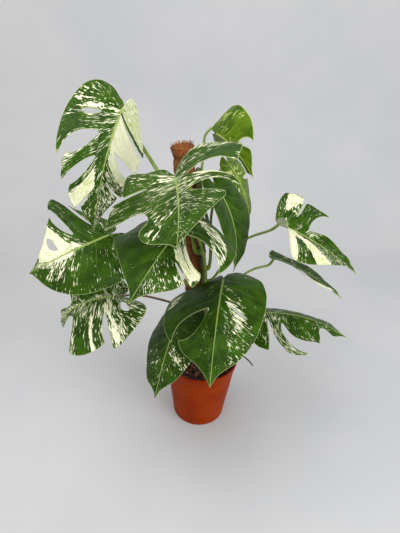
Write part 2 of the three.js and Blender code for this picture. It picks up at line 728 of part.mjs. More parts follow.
// A root that leaves the stem low down and hangs over the pot's rim
function rootPoints(stem) {
  const share = (ROOT_NODE - STEM_FOOT_HEIGHT) / (STEM_TOP_HEIGHT - STEM_FOOT_HEIGHT);
  const node = stem.getPoint(share);
  const out = vector(ROOT_WAY[0]).sub(node).setZ(0).normalize();
  const start = node.clone().addScaledVector(out, STEM_RADIUS + FIT_GAP);
  const guide = start.clone().addScaledVector(out, 3 * ROOT_RADIUS);
  return [start, guide, ...ROOT_WAY.map(vector)];
}

const plant = new THREE.Group();
const stemPath = stemPoints();
const stemCurve = new THREE.CatmullRomCurve3(stemPath, false, "centripetal");

plant.add(named("pot", potBody(), FINISH.pot));
plant.add(named("soil", soilBody(stemPath), FINISH.soil));
plant.add(named(
  "coir_pole",
  post(POLE_RADIUS, POLE_RINGS, POLE_SIDES, POLE_SHAG, vector(POLE_FOOT), vector(POLE_TOP)),
  FINISH.coir,
));
const climbingStem = tube(stemPath, STEM_RADIUS, STEM_SIDES, STEM_STEPS);
plant.add(named("climbing_stem", climbingStem, FINISH.stem));
const airRoot = tube(rootPoints(stemCurve), ROOT_RADIUS, ROOT_SIDES, ROOT_STEPS);
plant.add(named("air_root", airRoot, FINISH.root));

const stemBody = solid(climbingStem);
for (const [name, leaf] of Object.entries(LEAVES)) {
  const finish = NEW_LEAVES.includes(name) ? FINISH.newBlade : FINISH.blade;
  const sheet = blade(leaf);
  plant.add(named(`leaf_${name}`, sheet, finish));
  const stalk = seatedStalk(leaf, stemCurve, stemBody, solid(sheet));
  plant.add(named(`stalk_${name}`, stalk, FINISH.stalk));
}

export default plant;
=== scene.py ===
# Potted variegated monstera on a coir pole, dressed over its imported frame.
# Sizes are in millimetres, as in the part's source, and become metres in the meshes.
import math
import bpy
import numpy as np
from mathutils import Matrix


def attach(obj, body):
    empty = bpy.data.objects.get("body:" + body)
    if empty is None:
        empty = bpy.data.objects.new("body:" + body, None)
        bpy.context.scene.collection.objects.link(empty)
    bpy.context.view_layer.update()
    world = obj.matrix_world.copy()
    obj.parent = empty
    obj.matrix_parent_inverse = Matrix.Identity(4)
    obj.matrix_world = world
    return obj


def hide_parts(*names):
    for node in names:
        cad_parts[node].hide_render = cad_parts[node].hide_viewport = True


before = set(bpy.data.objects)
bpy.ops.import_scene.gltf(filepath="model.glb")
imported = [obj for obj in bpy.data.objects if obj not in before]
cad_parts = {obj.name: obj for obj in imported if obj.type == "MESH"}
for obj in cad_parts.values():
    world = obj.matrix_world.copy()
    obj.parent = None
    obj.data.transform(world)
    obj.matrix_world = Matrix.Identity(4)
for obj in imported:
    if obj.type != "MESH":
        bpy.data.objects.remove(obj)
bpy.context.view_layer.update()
MM = 0.001

# Camera: where it stands, where it looks (degrees), and its lens in pixels of a 400 x 533 frame
CAMERA_PLACE = (-66.8, -864.4, 976.4)
CAMERA_YAW = 3.29
CAMERA_PITCH = 30.0
CAMERA_ROLL = -3.11
FOCAL_PIXELS = 415.5
FRAME_HEIGHT = 533
SENSOR = 36.0
CLIP_RANGE = (0.05, 20)

# Pot. The foot's points are [beyond the base's radius, height], the shoulder's [beyond the wall,
# above the rim's foot], and the lip's [beyond the rim's outer or inner radius, above the top].
# The wall's ends are [height of its first ring, gap below the rim's foot], and the floor's
# corner is [how far in from the wall, how far up].
POT_HEIGHT = 197
POT_TOP_RADIUS = 99
POT_BASE_RADIUS = 72
POT_WALL = 2.4
POT_FLOOR = 3
POT_MIDDLE = 0.5
RIM_HEIGHT = 16
RIM_STEP = 2.2
FOOT = [[-6, 0.6], [-4, 0], [-1, 0], [0.1, 0.9]]
SHOULDER = [[0.4, 0], [RIM_STEP - 0.5, 0.5], [RIM_STEP, 1.5]]
LIP_OUTSIDE = [[-0.1, -2.2], [0, -1.3], [-0.3, -0.4], [-1, 0]]
LIP_INSIDE = [[1.4, 0], [0.4, -0.5], [0, -1.6]]
WALL_ENDS = [3, 0.8]
INSIDE_GAP = 2
FLOOR_CORNER = [2, 1.5]
OUTSIDE_RINGS = 14
INSIDE_RINGS = 10
POT_SIDES = 160
DRAIN_RADIUS = 5
DRAIN_CIRCLE = 44
DRAIN_COUNT = 6
DRAIN_SIDES = 24
DRAIN_REACH = 5.0

# Soil, its bark chips and perlite: sizes across, and height as a share of that
SOIL_TOP = 178
SOIL_BUMP = 4
SOIL_RINGS = 30
SOIL_SIDES = 96
SOIL_GAP = 0.8
SOIL_FLOOR = (0.02, 0.5, 1)
SOIL_MIDDLE = 0.01
CLOD_WAVES = [0.21, 0.19, 0.43, 0.37]
CLOD_SHIFT = [1.3, 0.6]
CLOD_DETAIL = 0.5
CRUMB_WAVES = [1.1, 0.7, 0.9]
CRUMB_SHIFT = 1.7
CRUMB_HEIGHT = 0.5
CHIP_SEED = 21
CHIP_COUNT = 430
CHIP_SIZES = (5, 15)
CHIP_HEIGHTS = (0.25, 0.5)
CHIP_WIDTHS = (0.45, 0.8)
CHIP_TILTS = (0.5, 0.4)
CHIP_RISES = (0.05, 0.45)
CHIP_MARKS = (-1, -0.4, 0.4, 1)
CHIP_ROUND = 0.7
CHIP_LUMPS = 0.16
PERLITE_SEED = 22
PERLITE_COUNT = 46
PERLITE_SIZES = (2.2, 4.6)
PERLITE_HEIGHTS = (0.7, 1.0)
SCATTER_REACH = 0.97
SCATTER_GAP = 4

# Pole and its wrap. BINDING and LOOSE_TOP are bulges: [how much, where, how wide], measured
# down from the top. Lumps are [height, then what each wave counts over turn and height].
POLE_RADIUS = 23
POLE_FOOT = (16, -5, 20)
POLE_TOP = (-67, 20, 758)
POLE_SIDES = 72
POLE_RINGS = 220
POLE_CROWN = (0.85, 0.6, 0.3, 0.08)
CROWN_RISE = 1.5
POLE_BARE_FOOT = 150
BINDING = [0.13, 26, 4]
LOOSE_TOP = [0.1, 0, 14]
WRAP_INSET = 0.5
WIDE_LUMPS = [0.5, 5, 0.05, 2, 0.031]
FINE_LUMPS = [0.45, 9, 0.11, 0.083]
WRAP_TOP_GAP = 4
WRAP_SEED = 11
FIBRE_STEPS = 6
FIBRE_COUNT = 2400
FIBRE_RISE = 15
FIBRE_SWING = 0.55
FIBRE_WANDER = 0.09
FIBRE_RADII = (0.22, 0.48)
FIBRE_ENDS = (0.5, 0.25)
FIBRE_GAP = 0.1
STRAY_SHARE = 0.16
STRAY_LIFTS = (1.5, 5.5)
LYING_LIFT = 0.6
LIFT_START = 0.25
LIFT_POWER = 1.5
TUFT_SEED = 12
TUFT_COUNT = 260
TUFT_DEPTH = 3
TUFT_HEIGHTS = (3, 13)
TUFT_RADII = (0.2, 0.4)
TUFT_SPREAD = (-0.15, 0.3)
TUFT_MIDDLE = 0.1
TUFT_SWING = 0.5

# Stem: a node is a swelling with a waist below it
STEM_RADIUS = 7
STEM_FOOT_HEIGHT = 120
STEM_TOP_HEIGHT = 715
STEM_START_TURN = -58
STEM_END_TURN = -14
STEM_REACH = 31.1
STEM_WAYPOINTS = 9
NODE_SWELL = [1.1, 0, 4.5]
NODE_WAIST = [0.5, -12, 6]
STEM_END = (0.9, 0.7, 0.3)

# Air root
ROOT_RADIUS = 2
ROOT_NODE = 232
ROOT_WAY = [(52, -45, 236), (92, -72, 262), (109, -86, 262), (124, -98, 250)]
ROOT_GUIDE = 6
ROOT_WIGGLES = [[2, 0.8, 21, 0], [0, 0.7, 17, 1]]
ROOT_TAPER = (1.2, 0.35)
ROOT_KNOTS = (0.12, 60)
ROOT_END = (0.95, 0.8, 0.6, 0.3)

# Blades. Ridges and the keel are bulges: [how much, where, how wide].
COLUMN_COUNT = 118
LEAST_COLUMNS = 6
ROW_COUNT = 38
ROW_POWER = 1.35
ROW_LEAST = 0.002
MARGIN_ROW = 0.99
CUT_START_ROWS = (0.01, 0.04)
CUT_END_ROW = 0.03
CUT_END = 0.35
VEINS_PER_SIDE = 11
VEIN_START = 0.36
VEIN_POWER = 1.5
VEIN_BOW = 0.1
BOW_START = 4
CORNER_ROUND = 0.07
CORNER_HOOK = 0.08
CORNER_SOFT = 0.05
ROLL_FROM = 0.25
ROLL_SPAN = 0.4
BLADE_THICKNESS = 0.8
MARGIN_THICKNESS = 0.45
RIB_BLEND = 5
RIB_START = 6
RIB_RIDGE = [0.7, 0, 1.7]
RIB_TAPER = 0.7
RIB_KEEL = [2.0, 0, 2.4]
KEEL_TAPER = 0.75
VEIN_RIDGE = [0.35, 0, 0.16]
VEIN_RISE = 0.1
QUILT_HEIGHT = 1.6
QUILT_POWER = 1.6
QUILT_MIDDLE = 0.6
QUILT_SPACING = 14
QUILT_START = 0.3
QUILT_FADE = 0.5
WAVE_HEIGHT = 2.2
WAVE_ENDS = (5, 6)
WAVE_COUNT = 3.4
WAVE_SHIFTS = (0.37, 0.2)
TIP_FROM = 0.93
TIP_LENGTH = 7
BROWN_STALKS = ["south_west"]
NEW_LEAVES = ["new_top", "back"]

# Stalks. SHEATH and KNEE are bulges at the stem and at the blade. The taper is [share at the
# stem, loss on the way], the end is [length of the rounding, least share], and the guide,
# the knee and its bend are counted in radii.
SHEATH = [0.75, 2, 14]
KNEE = [0.22, 12, 9]
STALK_TAPER = (1.06, 0.1)
STALK_END = (1.6, 0.15)
STALK_GUIDE = (3.4, 1.6)
KNEE_LENGTH = 3
KNEE_BEND = 7.5
SEAT_DEPTH = 1.2

# Steps along and round each tube, and a direction that no tube starts along
CURVE_STEPS = 600
RING_START = [0.3, 0.2, 0.9]
STEM_GRID = (260, 32)
ROOT_GRID = (80, 14)
STALK_GRID = (90, 24)

# Cream pattern: a noise is [cells along the outline, cells out to the margin, detail,
# roughness, weight]. A limit pair is where the pattern's level starts and ends a change,
# but for narrow and wide, where the spacing of the side veins does, in mm.
STREAKS = [135.0, 3.2, 3.0, 0.6, 2.9]
FLECKS = [280.0, 8.5, 1.0, 0.5, 2.4]
STRIPES = [34.0, 2.2, 2.0, 0.5, 0.9]
PATCHES = [9.0, 1.1, 1.0, 0.5, 0.5]
PATTERN_MIDDLE = 3.35
HALO_LIMITS = (-0.1, 0.02)
HALO_SHARE = 0.75
CREAM_LIMITS = (0.0, 0.1)
MARBLE_LIMITS = (0.8, 1.2)
WHITE_LIMITS = (1.5, 2.0)
WHITE_REST = 0.1
NARROW_LIMITS = (8.0, 15.0)
WIDE_LIMITS = (18.0, 32.0)
MARK_SOFT = (0.02, 0.16)
LEAF_NOISE_STEP = 7.0
SIDE_NOISE_STEP = 2.0

# Lines drawn on a blade, in mm: a side vein's half width, the rib's half width from its
# foot to its end (over how far, from, to), and the width of the pale rim
VEIN_LINE = 0.9
RIB_LINE = (0.0, 220.0, 3.0, 0.8)
RIB_SHARE = 0.85
RIM_LIMITS = (0.3, 1.3)

# Stage: a sweep of floor and backdrop, and lights, in metres
SWEEP_FRONT = 3.0
SWEEP_BACK = 1.6
SWEEP_RADIUS = 0.7
SWEEP_SIDE = 3.5
SWEEP_HEIGHT = 4.0
SWEEP_STEPS = 12
WORLD_STRENGTH = 0.58
LIGHT_AIM = (0, 0, 0.5)
LIGHTS = {
    "key": {"place": (-0.9, -0.8, 2.6), "size": 2.4, "power": 46, "colour": (1.0, 0.985, 0.96)},
    "fill": {"place": (1.8, -1.6, 1.4), "size": 2.0, "power": 40, "colour": (0.96, 0.98, 1.0)},
}

# Half of a leaf's outline, from the notch at its base to its tip.
# The first number counts half widths, the second counts lengths.
OUTLINE = [
    [0, -0.02], [0.11, -0.19], [0.42, -0.235], [0.8, -0.13], [1, 0.11],
    [0.99, 0.36], [0.84, 0.6], [0.55, 0.79], [0.2, 0.91], [0, 1],
]

# Each leaf, as in the part's source: where its blade joins the stalk, where its tip is, the way
# its upper face looks (degrees), and for its right and left sides half width, fold, curl and
# roll. A cut is [place along the outline, inner end, outer end, width, share open at the margin,
# shift along the outline from inner to outer end]. reshape moves points of the outline on the
# right and left sides: [which point, across, along]. reach scales lobes between the cuts:
# (0 for right or 1 for left, number of the lobe). What a leaf leaves out is in PLAIN_LEAF.
PLAIN_LEAF = {
    "sway": 0, "notch": 1, "roll": [0, 0], "reshape": [[], []], "reach": {}, "cuts": [],
    "radius": 3, "approach": 20,
}
LEAVES = {
    "crown": {
        "base": [-185, 6, 832], "tip": [-240, -96, 616], "face": [-93, 16], "droop": 70,
        "half": [98, 108], "fold": [14, -59], "curl": [17, 8], "roll": [2, -4],
        "reshape": [[[1, -0.02, 0.12], [2, 0, 0.05], [6, -0.08, 0.02]], []],
        "reach": {(1, 3): 0.96},
        "cuts": [
            [[0.47, 0.34, 0.72, 0.04, 0, 0], [0.485, 0.1, 1, 0.03, 1, 0]],
            [[0.585, 0.28, 1, 0.085, 0.05, 0.035], None],
            [[0.705, 0.3, 1, 0.08, 0.5, 0.01], [0.635, 0.16, 1, 0.085, 0.6, 0]],
            [[0.835, 0.5, 1, 0.015, 1, 0], [0.765, 0.2, 1, 0.012, 1, 0]],
        ],
        "node": 520,
        "stalk": [
            [-45, -30, 590], [-86, -18, 655], [-122, 24, 704], [-141, 56, 722], [-163, 60, 756],
            [-180, 44, 790],
        ],
        "radius": 4.2, "approach": 10,
    },
    "west": {
        "base": [-216, -59, 584], "tip": [-377, -108, 514], "face": [-80, 16], "droop": 80,
        "sway": 0.04, "half": [136, 100], "fold": [-44, 25], "curl": [2, 25],
        "reshape": [
            [
                [3, 0, 0.06], [4, 0.05, 0.03], [5, 0.1, 0], [6, 0.1, 0], [7, -0.14, -0.03],
                [8, -0.06, 0],
            ],
            [],
        ],
        "cuts": [
            [[0.4, 0.3, 1, 0.05, 1, 0], None], [[0.62, 0.26, 1, 0.09, 0.1, 0.06], None],
            [[0.765, 0.28, 0.86, 0.06, 0, 0], None],
        ],
        "node": 420, "stalk": [[-60, -32, 455], [-120, -20, 500], [-180, -15, 540]], "radius": 3.4,
    },
    "front": {
        "base": [-80, -96, 728], "tip": [-71, -304, 690], "face": [-115, 51], "droop": 8,
        "sway": -0.03, "half": [146, 136], "fold": [6, 36], "curl": [28, 38],
        "reshape": [
            [
                [1, 0.02, -0.03], [2, 0, -0.08], [3, -0.03, -0.34], [4, 0, -0.06], [7, -0.1, 0.1],
                [8, 0, 0.04],
            ],
            [
                [1, 0.02, 0.05], [2, 0.03, 0.05], [3, 0, 0.1], [5, -0.1, 0], [7, 0.22, 0],
                [8, 0.26, 0],
            ],
        ],
        "reach": {(0, 0): 0.71},
        "cuts": [
            [[0.45, 0.38, 1, 0.016, 1, 0], [0.535, 0.22, 1, 0.12, 0.7, 0.09]],
            [[0.685, 0.52, 1, 0.11, 1.3, 0], [0.67, 0.18, 1, 0.12, 0.35, 0.085]],
        ],
        "node": 480, "stalk": [[2, -22, 560], [-18, -30, 640], [-48, -55, 690]], "radius": 3.6,
    },
    "heart": {
        "base": [-50, -97, 644], "tip": [-148, -284, 571], "face": [-108, 51], "droop": 58,
        "sway": -0.04, "half": [141, 116], "fold": [-18, 12], "curl": [16, 48], "roll": [0, -10],
        "reshape": [
            [[4, -0.05, 0.03], [5, 0.11, -0.03], [6, -0.07, 0], [7, -0.13, 0], [8, -0.05, 0]], [],
        ],
        "reach": {(1, 2): 1.04},
        "cuts": [[None, [0.62, 0.2, 1, 0.16, 0.4, 0.035]], [None, [0.745, 0.45, 1, 0.012, 1, 0]]],
        "node": 400, "stalk": [[-4, -24, 470], [-16, -36, 540], [-36, -60, 600]], "radius": 3.6,
    },
    "plain": {
        "base": [9, -13, 680], "tip": [56, -65, 510], "face": [-31, 18], "droop": 43,
        "sway": -0.04, "notch": 0.6, "half": [69, 78], "fold": [19, 13], "curl": [24, 23],
        "node": 545, "stalk": [[2, 2, 600], [4, 14, 650]],
    },
    "low_front": {
        "base": [30, -94, 502], "tip": [-5, -313, 409], "face": [-94, 47], "droop": 69,
        "sway": 0.014, "half": [131, 98], "fold": [-30, 2], "curl": [7, 26], "roll": [0, 10],
        "reshape": [[[7, 0.05, 0]], []],
        "cuts": [[[0.69, 0.2, 1, 0.16, 0.05, 0.04], [0.625, 0.26, 0.68, 0.022, 0, 0]]],
        "node": 290, "stalk": [[24, -50, 370], [30, -62, 430]], "radius": 3.4,
    },
    "low_left": {
        "base": [-67, -63, 369], "tip": [-113, -209, 263], "face": [-132, 21], "droop": 34,
        "sway": -0.04, "half": [87, 86], "fold": [-5, 10], "curl": [23, 25],
        "reshape": [[[4, 0.08, 0]], []], "node": 215, "stalk": [[-20, -42, 275], [-50, -36, 325]],
    },
    "south_west": {
        "base": [-209, -62, 428], "tip": [-346, -59, 349], "face": [-100, 35], "droop": 74,
        "sway": 0.08, "notch": 0.8, "half": [84, 119], "fold": [5, 23], "curl": [30, 6],
        "roll": [0, 31], "reshape": [[], [[5, 0.05, 0], [6, 0.12, 0], [7, 0.14, 0]]],
        "cuts": [
            [None, [0.35, 0.25, 0.62, 0.1, 0, 0]],
            [[0.55, 0.3, 1, 0.05, 0.6, 0], [0.52, 0.32, 1, 0.05, 0.5, 0]],
            [[0.77, 0.26, 1, 0.2, 1.1, 0], [0.81, 0.28, 1, 0.13, 0.9, 0]],
        ],
        "node": 320,
        "stalk": [[-20, -33, 346], [-62, -22, 374], [-120, -14, 390], [-175, -26, 408]],
        "radius": 2.8,
    },
    "east": {
        "base": [153, -12, 600], "tip": [344, -40, 495], "face": [-73, 77], "droop": 12,
        "sway": -0.04, "notch": 0.25, "half": [104, 113], "fold": [19, 20], "curl": [34, 18],
        "roll": [45, -3],
        "reshape": [
            [[5, -0.02, 0], [6, -0.2, 0], [7, -0.3, 0], [8, -0.15, 0]],
            [[7, -0.3, 0], [8, -0.05, 0]],
        ],
        "cuts": [[None, [0.5, 0.36, 1, 0.016, 1, 0]], [None, [0.635, 0.2, 1, 0.14, 0.9, 0.075]]],
        "node": 440, "stalk": [[45, -12, 516], [46, -6, 525], [90, -4, 558]],
    },
    "side": {
        "base": [163, 20, 496], "tip": [325, -39, 424], "face": [-74, 99], "droop": 26,
        "sway": 0.01, "notch": 0.3, "half": [38, 50], "fold": [22, 12], "curl": [22, 28],
        "reshape": [
            [[3, -0.2, 0], [4, -0.25, 0], [5, 0, 0], [6, 0.45, 0], [7, 0.45, 0]],
            [[5, -0.15, 0], [6, -0.2, 0], [7, -0.1, 0]],
        ],
        "cuts": [[[0.6, 0.4, 1, 0.04, 0.6, 0], None]], "node": 370,
        "stalk": [[60, 0, 428], [115, 14, 464]], "radius": 2.8,
    },
    "south_east": {
        "base": [144, 10, 335], "tip": [350, -63, 323], "face": [-84, 103], "droop": 49,
        "sway": 0.03, "notch": 0.6, "half": [102, 97], "fold": [-19, -7], "curl": [38, 22],
        "roll": [0, 8], "reshape": [[[5, 0.08, 0], [6, 0.1, 0]], []],
        "reach": {(0, 1): 1.03, (0, 2): 0.9},
        "cuts": [
            [[0.47, 0.2, 1, 0.04, 2.6, 0.04], None],
            [[0.56, 0.3, 1, 0.06, 0.5, 0.155], [0.62, 0.4, 1, 0.04, 0.6, 0]],
            [[0.82, 0.4, 1, 0.1, 1.1, 0], None],
        ],
        "node": 250, "stalk": [[60, -14, 272], [105, 0, 296]],
    },
    "new_top": {
        "base": [4, 57, 777], "tip": [74, -53, 722], "face": [-111, -4], "droop": 35, "sway": -0.1,
        "notch": 0.8, "half": [73, 70], "fold": [-40, 6], "curl": [49, 24], "roll": [0, -5],
        "reshape": [[], [[3, 0.05, -0.05], [4, 0.05, -0.02]]],
        "cuts": [[None, [0.73, 0.34, 1, 0.08, 0.6, 0.045]]], "node": 690,
        "stalk": [[-20, 44, 735], [-17, 70, 770], [2, 87, 784]], "radius": 2.6, "approach": 72,
    },
    "back": {
        "base": [45, 79, 702], "tip": [107, 99, 565], "face": [-37, 45], "droop": 28, "notch": 0.9,
        "half": [50, 74], "fold": [11, 2], "curl": [26, 24],
        "cuts": [[[0.6, 0.4, 1, 0.04, 0.6, 0], [0.6, 0.4, 1, 0.04, 0.6, 0]]], "node": 620,
        "stalk": [[-4, 40, 650], [14, 62, 676]], "radius": 2.6,
    },
}

# The pale parts of each blade, on its right and left sides. base is how pale the whole
# blade is: -1 is green and 1 is cream. A patch is [from, to along the outline, from, to
# along the side veins, how much paler], and where it slants, how far along the outline.
MARKS = {
    "crown": {
        "base": -0.45,
        "right": [
            [0, 0.24, 0, 1, -0.4], [0.24, 0.32, 0.35, 0.9, 0], [0.32, 0.43, 0.5, 1, 0.1],
            [0.39, 0.43, 0.8, 1, 0.4], [0.36, 0.43, 0.15, 0.5, 0.15], [0.43, 0.468, 0, 0.8, 0.6],
            [0.473, 0.49, 0.03, 0.32, 0.2], [0.5, 0.575, 0.45, 1, -0.15], [0.59, 0.605, 0, 1, 0.4],
            [0.61, 0.65, 0.82, 1, 0.5], [0.62, 0.69, 0.2, 0.9, 0], [0.725, 0.765, 0.08, 0.4, 0.1],
            [0.705, 0.75, 0.4, 1, 0.05], [0.75, 0.835, 0.3, 1, 1.5],
        ],
        "left": [
            [0, 0.45, 0, 1, 1.6], [0.455, 0.485, 0.2, 1, -0.2], [0.485, 0.655, 0, 1, 2.8],
            [0.655, 0.69, 0.1, 1, 2.4], [0.69, 0.765, 0.1, 1, 0.3], [0.765, 0.85, 0, 0.9, 0.35],
            [0.85, 1, 0, 1, 0.3],
        ],
    },
    "west": {
        "base": -0.48,
        "right": [
            [0.4, 0.55, 0.2, 1, -0.15], [0.62, 0.68, 0, 0.35, 0.3], [0.66, 0.7, 0.1, 1, 0.15],
            [0.7, 0.86, 0.1, 1, 2.6], [0.66, 0.86, 0, 0.15, 0.6], [0.86, 0.93, 0, 0.8, 0.5],
            [0.93, 1, 0, 1, 0.3],
        ],
        "left": [
            [0.3, 0.66, 0, 1, -0.12], [0.66, 0.74, 0, 0.6, 0.3, 0.04],
            [0.74, 0.83, 0.05, 0.75, 0.5, 0.04], [0.72, 0.83, 0, 0.12, 0.9],
            [0.83, 0.9, 0, 0.35, 0.6], [0.83, 1, 0.25, 1, 0],
        ],
    },
    "front": {
        "base": -0.36,
        "right": [
            [0.08, 0.26, 0.92, 1, 0.4], [0.28, 0.6, 0, 0.4, 0.18], [0.1, 0.45, 0.4, 1, -0.05],
            [0.46, 0.54, 0.85, 1, 0.1], [0.54, 0.66, 0.45, 1, -0.3], [0.45, 0.54, 0.45, 0.8, -0.3],
            [0.62, 0.75, 0, 0.4, -0.05], [0.775, 0.79, 0.45, 0.85, 0.5], [0.75, 0.88, 0.8, 1, 0],
            [0.8, 1, 0, 1, -0.25],
        ],
        "left": [
            [0, 0.45, 0, 0.9, -0.02], [0.05, 0.4, 0.9, 1, 0.4], [0.44, 0.53, 0.1, 1, -0.4],
            [0.535, 0.66, 0, 0.5, 0.2], [0.535, 0.56, 0.4, 1, 1.3], [0.56, 0.64, 0.55, 1, 0],
            [0.645, 0.665, 0.45, 0.9, 0.2], [0.68, 0.97, 0, 1, -0.08],
        ],
    },
    "heart": {
        "base": -0.95, "right": [[0.3, 1, 0, 0.1, 0.2]],
        "left": [
            [0.42, 0.6, 0.2, 1, 0.95, 0.4], [0.1, 0.4, 0.1, 0.4, 0.5], [0.5, 0.62, 0.05, 0.3, 0.7],
            [0.625, 0.656, 0.4, 1, 2.1], [0.656, 0.672, 0.3, 1, 0.6],
            [0.672, 0.725, 0.3, 0.9, 2.05], [0.625, 0.656, 0.1, 0.4, 0.9],
            [0.672, 0.725, 0.1, 0.3, 0.7], [0.725, 0.8, 0.15, 1, 0.48],
            [0.72, 0.775, 0.65, 1, 0.4], [0.8, 0.95, 0.35, 1, 0.65], [0.8, 0.95, 0, 0.35, 0.5],
        ],
    },
    "plain": {"base": -1.5},
    "low_front": {
        "base": -0.9,
        "right": [[0.4, 0.5, 0.75, 1, 0.95], [0.45, 0.62, 0.1, 0.25, 0.4], [0.72, 1, 0, 1, 0.15]],
        "left": [
            [0.53, 0.66, 0.05, 0.6, 0.5, 0.15], [0.62, 0.8, 0.15, 1, 0.55, 0.1],
            [0.8, 0.92, 0.1, 1, 0.1],
        ],
    },
    "low_left": {
        "base": -0.85,
        "right": [
            [0.55, 0.85, 0.2, 0.9, 0.15], [0.735, 0.76, 0.2, 0.7, 0.6, -0.1],
            [0.85, 0.92, 0.1, 0.8, 0.5],
        ],
        "left": [
            [0.66, 0.73, 0.2, 1, 0.75], [0.74, 0.95, 0, 1, 0.22], [0.8, 0.86, 0.1, 0.6, 0.05],
        ],
    },
    "south_west": {
        "base": -0.22,
        "right": [
            [0.4, 0.8, 0, 0.12, 0.2], [0.3, 0.8, 0.12, 1, -0.2], [0, 0.3, 0, 1, -0.1],
            [0.8, 1, 0, 1, 0.2],
        ],
        "left": [
            [0.12, 0.45, 0.5, 1, 0.02], [0.45, 0.51, 0.25, 0.95, 0.25], [0.475, 0.5, 0.3, 1, 0.6],
            [0.6, 0.622, 0.35, 1, 1.1, -0.05], [0.56, 0.595, 0.4, 1, -0.3],
            [0.5, 0.58, 0.15, 0.4, 0.2], [0.4, 0.8, 0, 0.4, 0.1], [0.64, 0.75, 0.3, 1, -0.25],
        ],
    },
    "east": {
        "base": -0.6,
        "right": [
            [0, 0.36, 0, 1, 0.9], [0.36, 0.5, 0, 1, 2.7], [0.5, 0.57, 0, 0.25, 2.6],
            [0.5, 0.57, 0.25, 1, 0.1], [0.59, 0.65, 0.24, 1, 2.5, 0.04],
            [0.57, 0.6, 0.08, 0.3, 0.7], [0.65, 0.672, 0.3, 1, 0.7, 0.04],
            [0.66, 0.9, 0, 0.7, 0.3], [0.66, 0.9, 0.7, 1, 0.3],
        ],
        "left": [
            [0.15, 0.3, 0.35, 1, 0.2], [0.33, 0.42, 0.2, 0.9, 0.2, 0.05],
            [0.41, 0.445, 0.52, 1, 2.6, 0.04], [0.445, 0.475, 0.68, 1, 2.6, 0.02],
            [0.475, 0.5, 0.82, 1, 2.6], [0.445, 0.5, 0.3, 0.68, 0.35],
            [0.5, 0.54, 0.05, 0.3, -0.2], [0.63, 0.7, 0.03, 0.3, 0.4],
        ],
    },
    "side": {"base": -0.6, "right": [[0.55, 0.9, 0.78, 1, 1.2]]},
    "south_east": {
        "base": -0.5,
        "right": [
            [0.47, 0.56, 0.3, 1, 0.3], [0.4, 0.55, 0.05, 0.25, 0.4],
            [0.71, 0.735, 0.35, 0.85, 0.3, 0.15], [0.58, 0.8, 0, 0.6, -0.1], [0.82, 1, 0, 1, 0.1],
        ],
    },
    "new_top": {
        "base": -0.75,
        "left": [
            [0.3, 0.45, 0.45, 0.8, 0.6, 0.2], [0.42, 0.55, 0.2, 0.35, 0.6],
            [0.48, 0.56, 0.6, 1, 0.5],
        ],
    },
    "back": {"base": -0.45, "right": [[0.4, 0.5, 0.2, 0.8, 0.6]]},
}


def linear(red, green, blue):
    """A colour given in 0 to 255, as the shader wants it: the usual sRGB curve."""
    def channel(value):
        share = value / 255
        if share <= 0.04045:
            return share / 12.92
        return ((share + 0.055) / 1.055) ** 2.4
    return (channel(red), channel(green), channel(blue), 1.0)


def ease(value):
    share = np.clip(value, 0, 1)
    return share * share * (3 - 2 * share)


def bulge(shape, place):
    """A smooth swelling: shape is how much, where, how wide."""
    amount, middle, width = shape
    return amount * np.exp(-((place - middle) / width) ** 2)


def unit(vector):
    vector = np.asarray(vector, float)
    return vector / np.linalg.norm(vector, axis=-1)[..., None]


def turns_round(count):
    return np.arange(count) * 2 * math.pi / count


def level_ring(radius, turns, height, middle=(0, 0)):
    x = middle[0] + radius * np.cos(turns)
    y = middle[1] + radius * np.sin(turns)
    return np.stack([x, y, np.broadcast_to(float(height), x.shape)], axis=1)


def axes_matrix(place, *axes):
    return Matrix.Translation(place) @ Matrix(np.stack(axes, axis=1).tolist()).to_4x4()


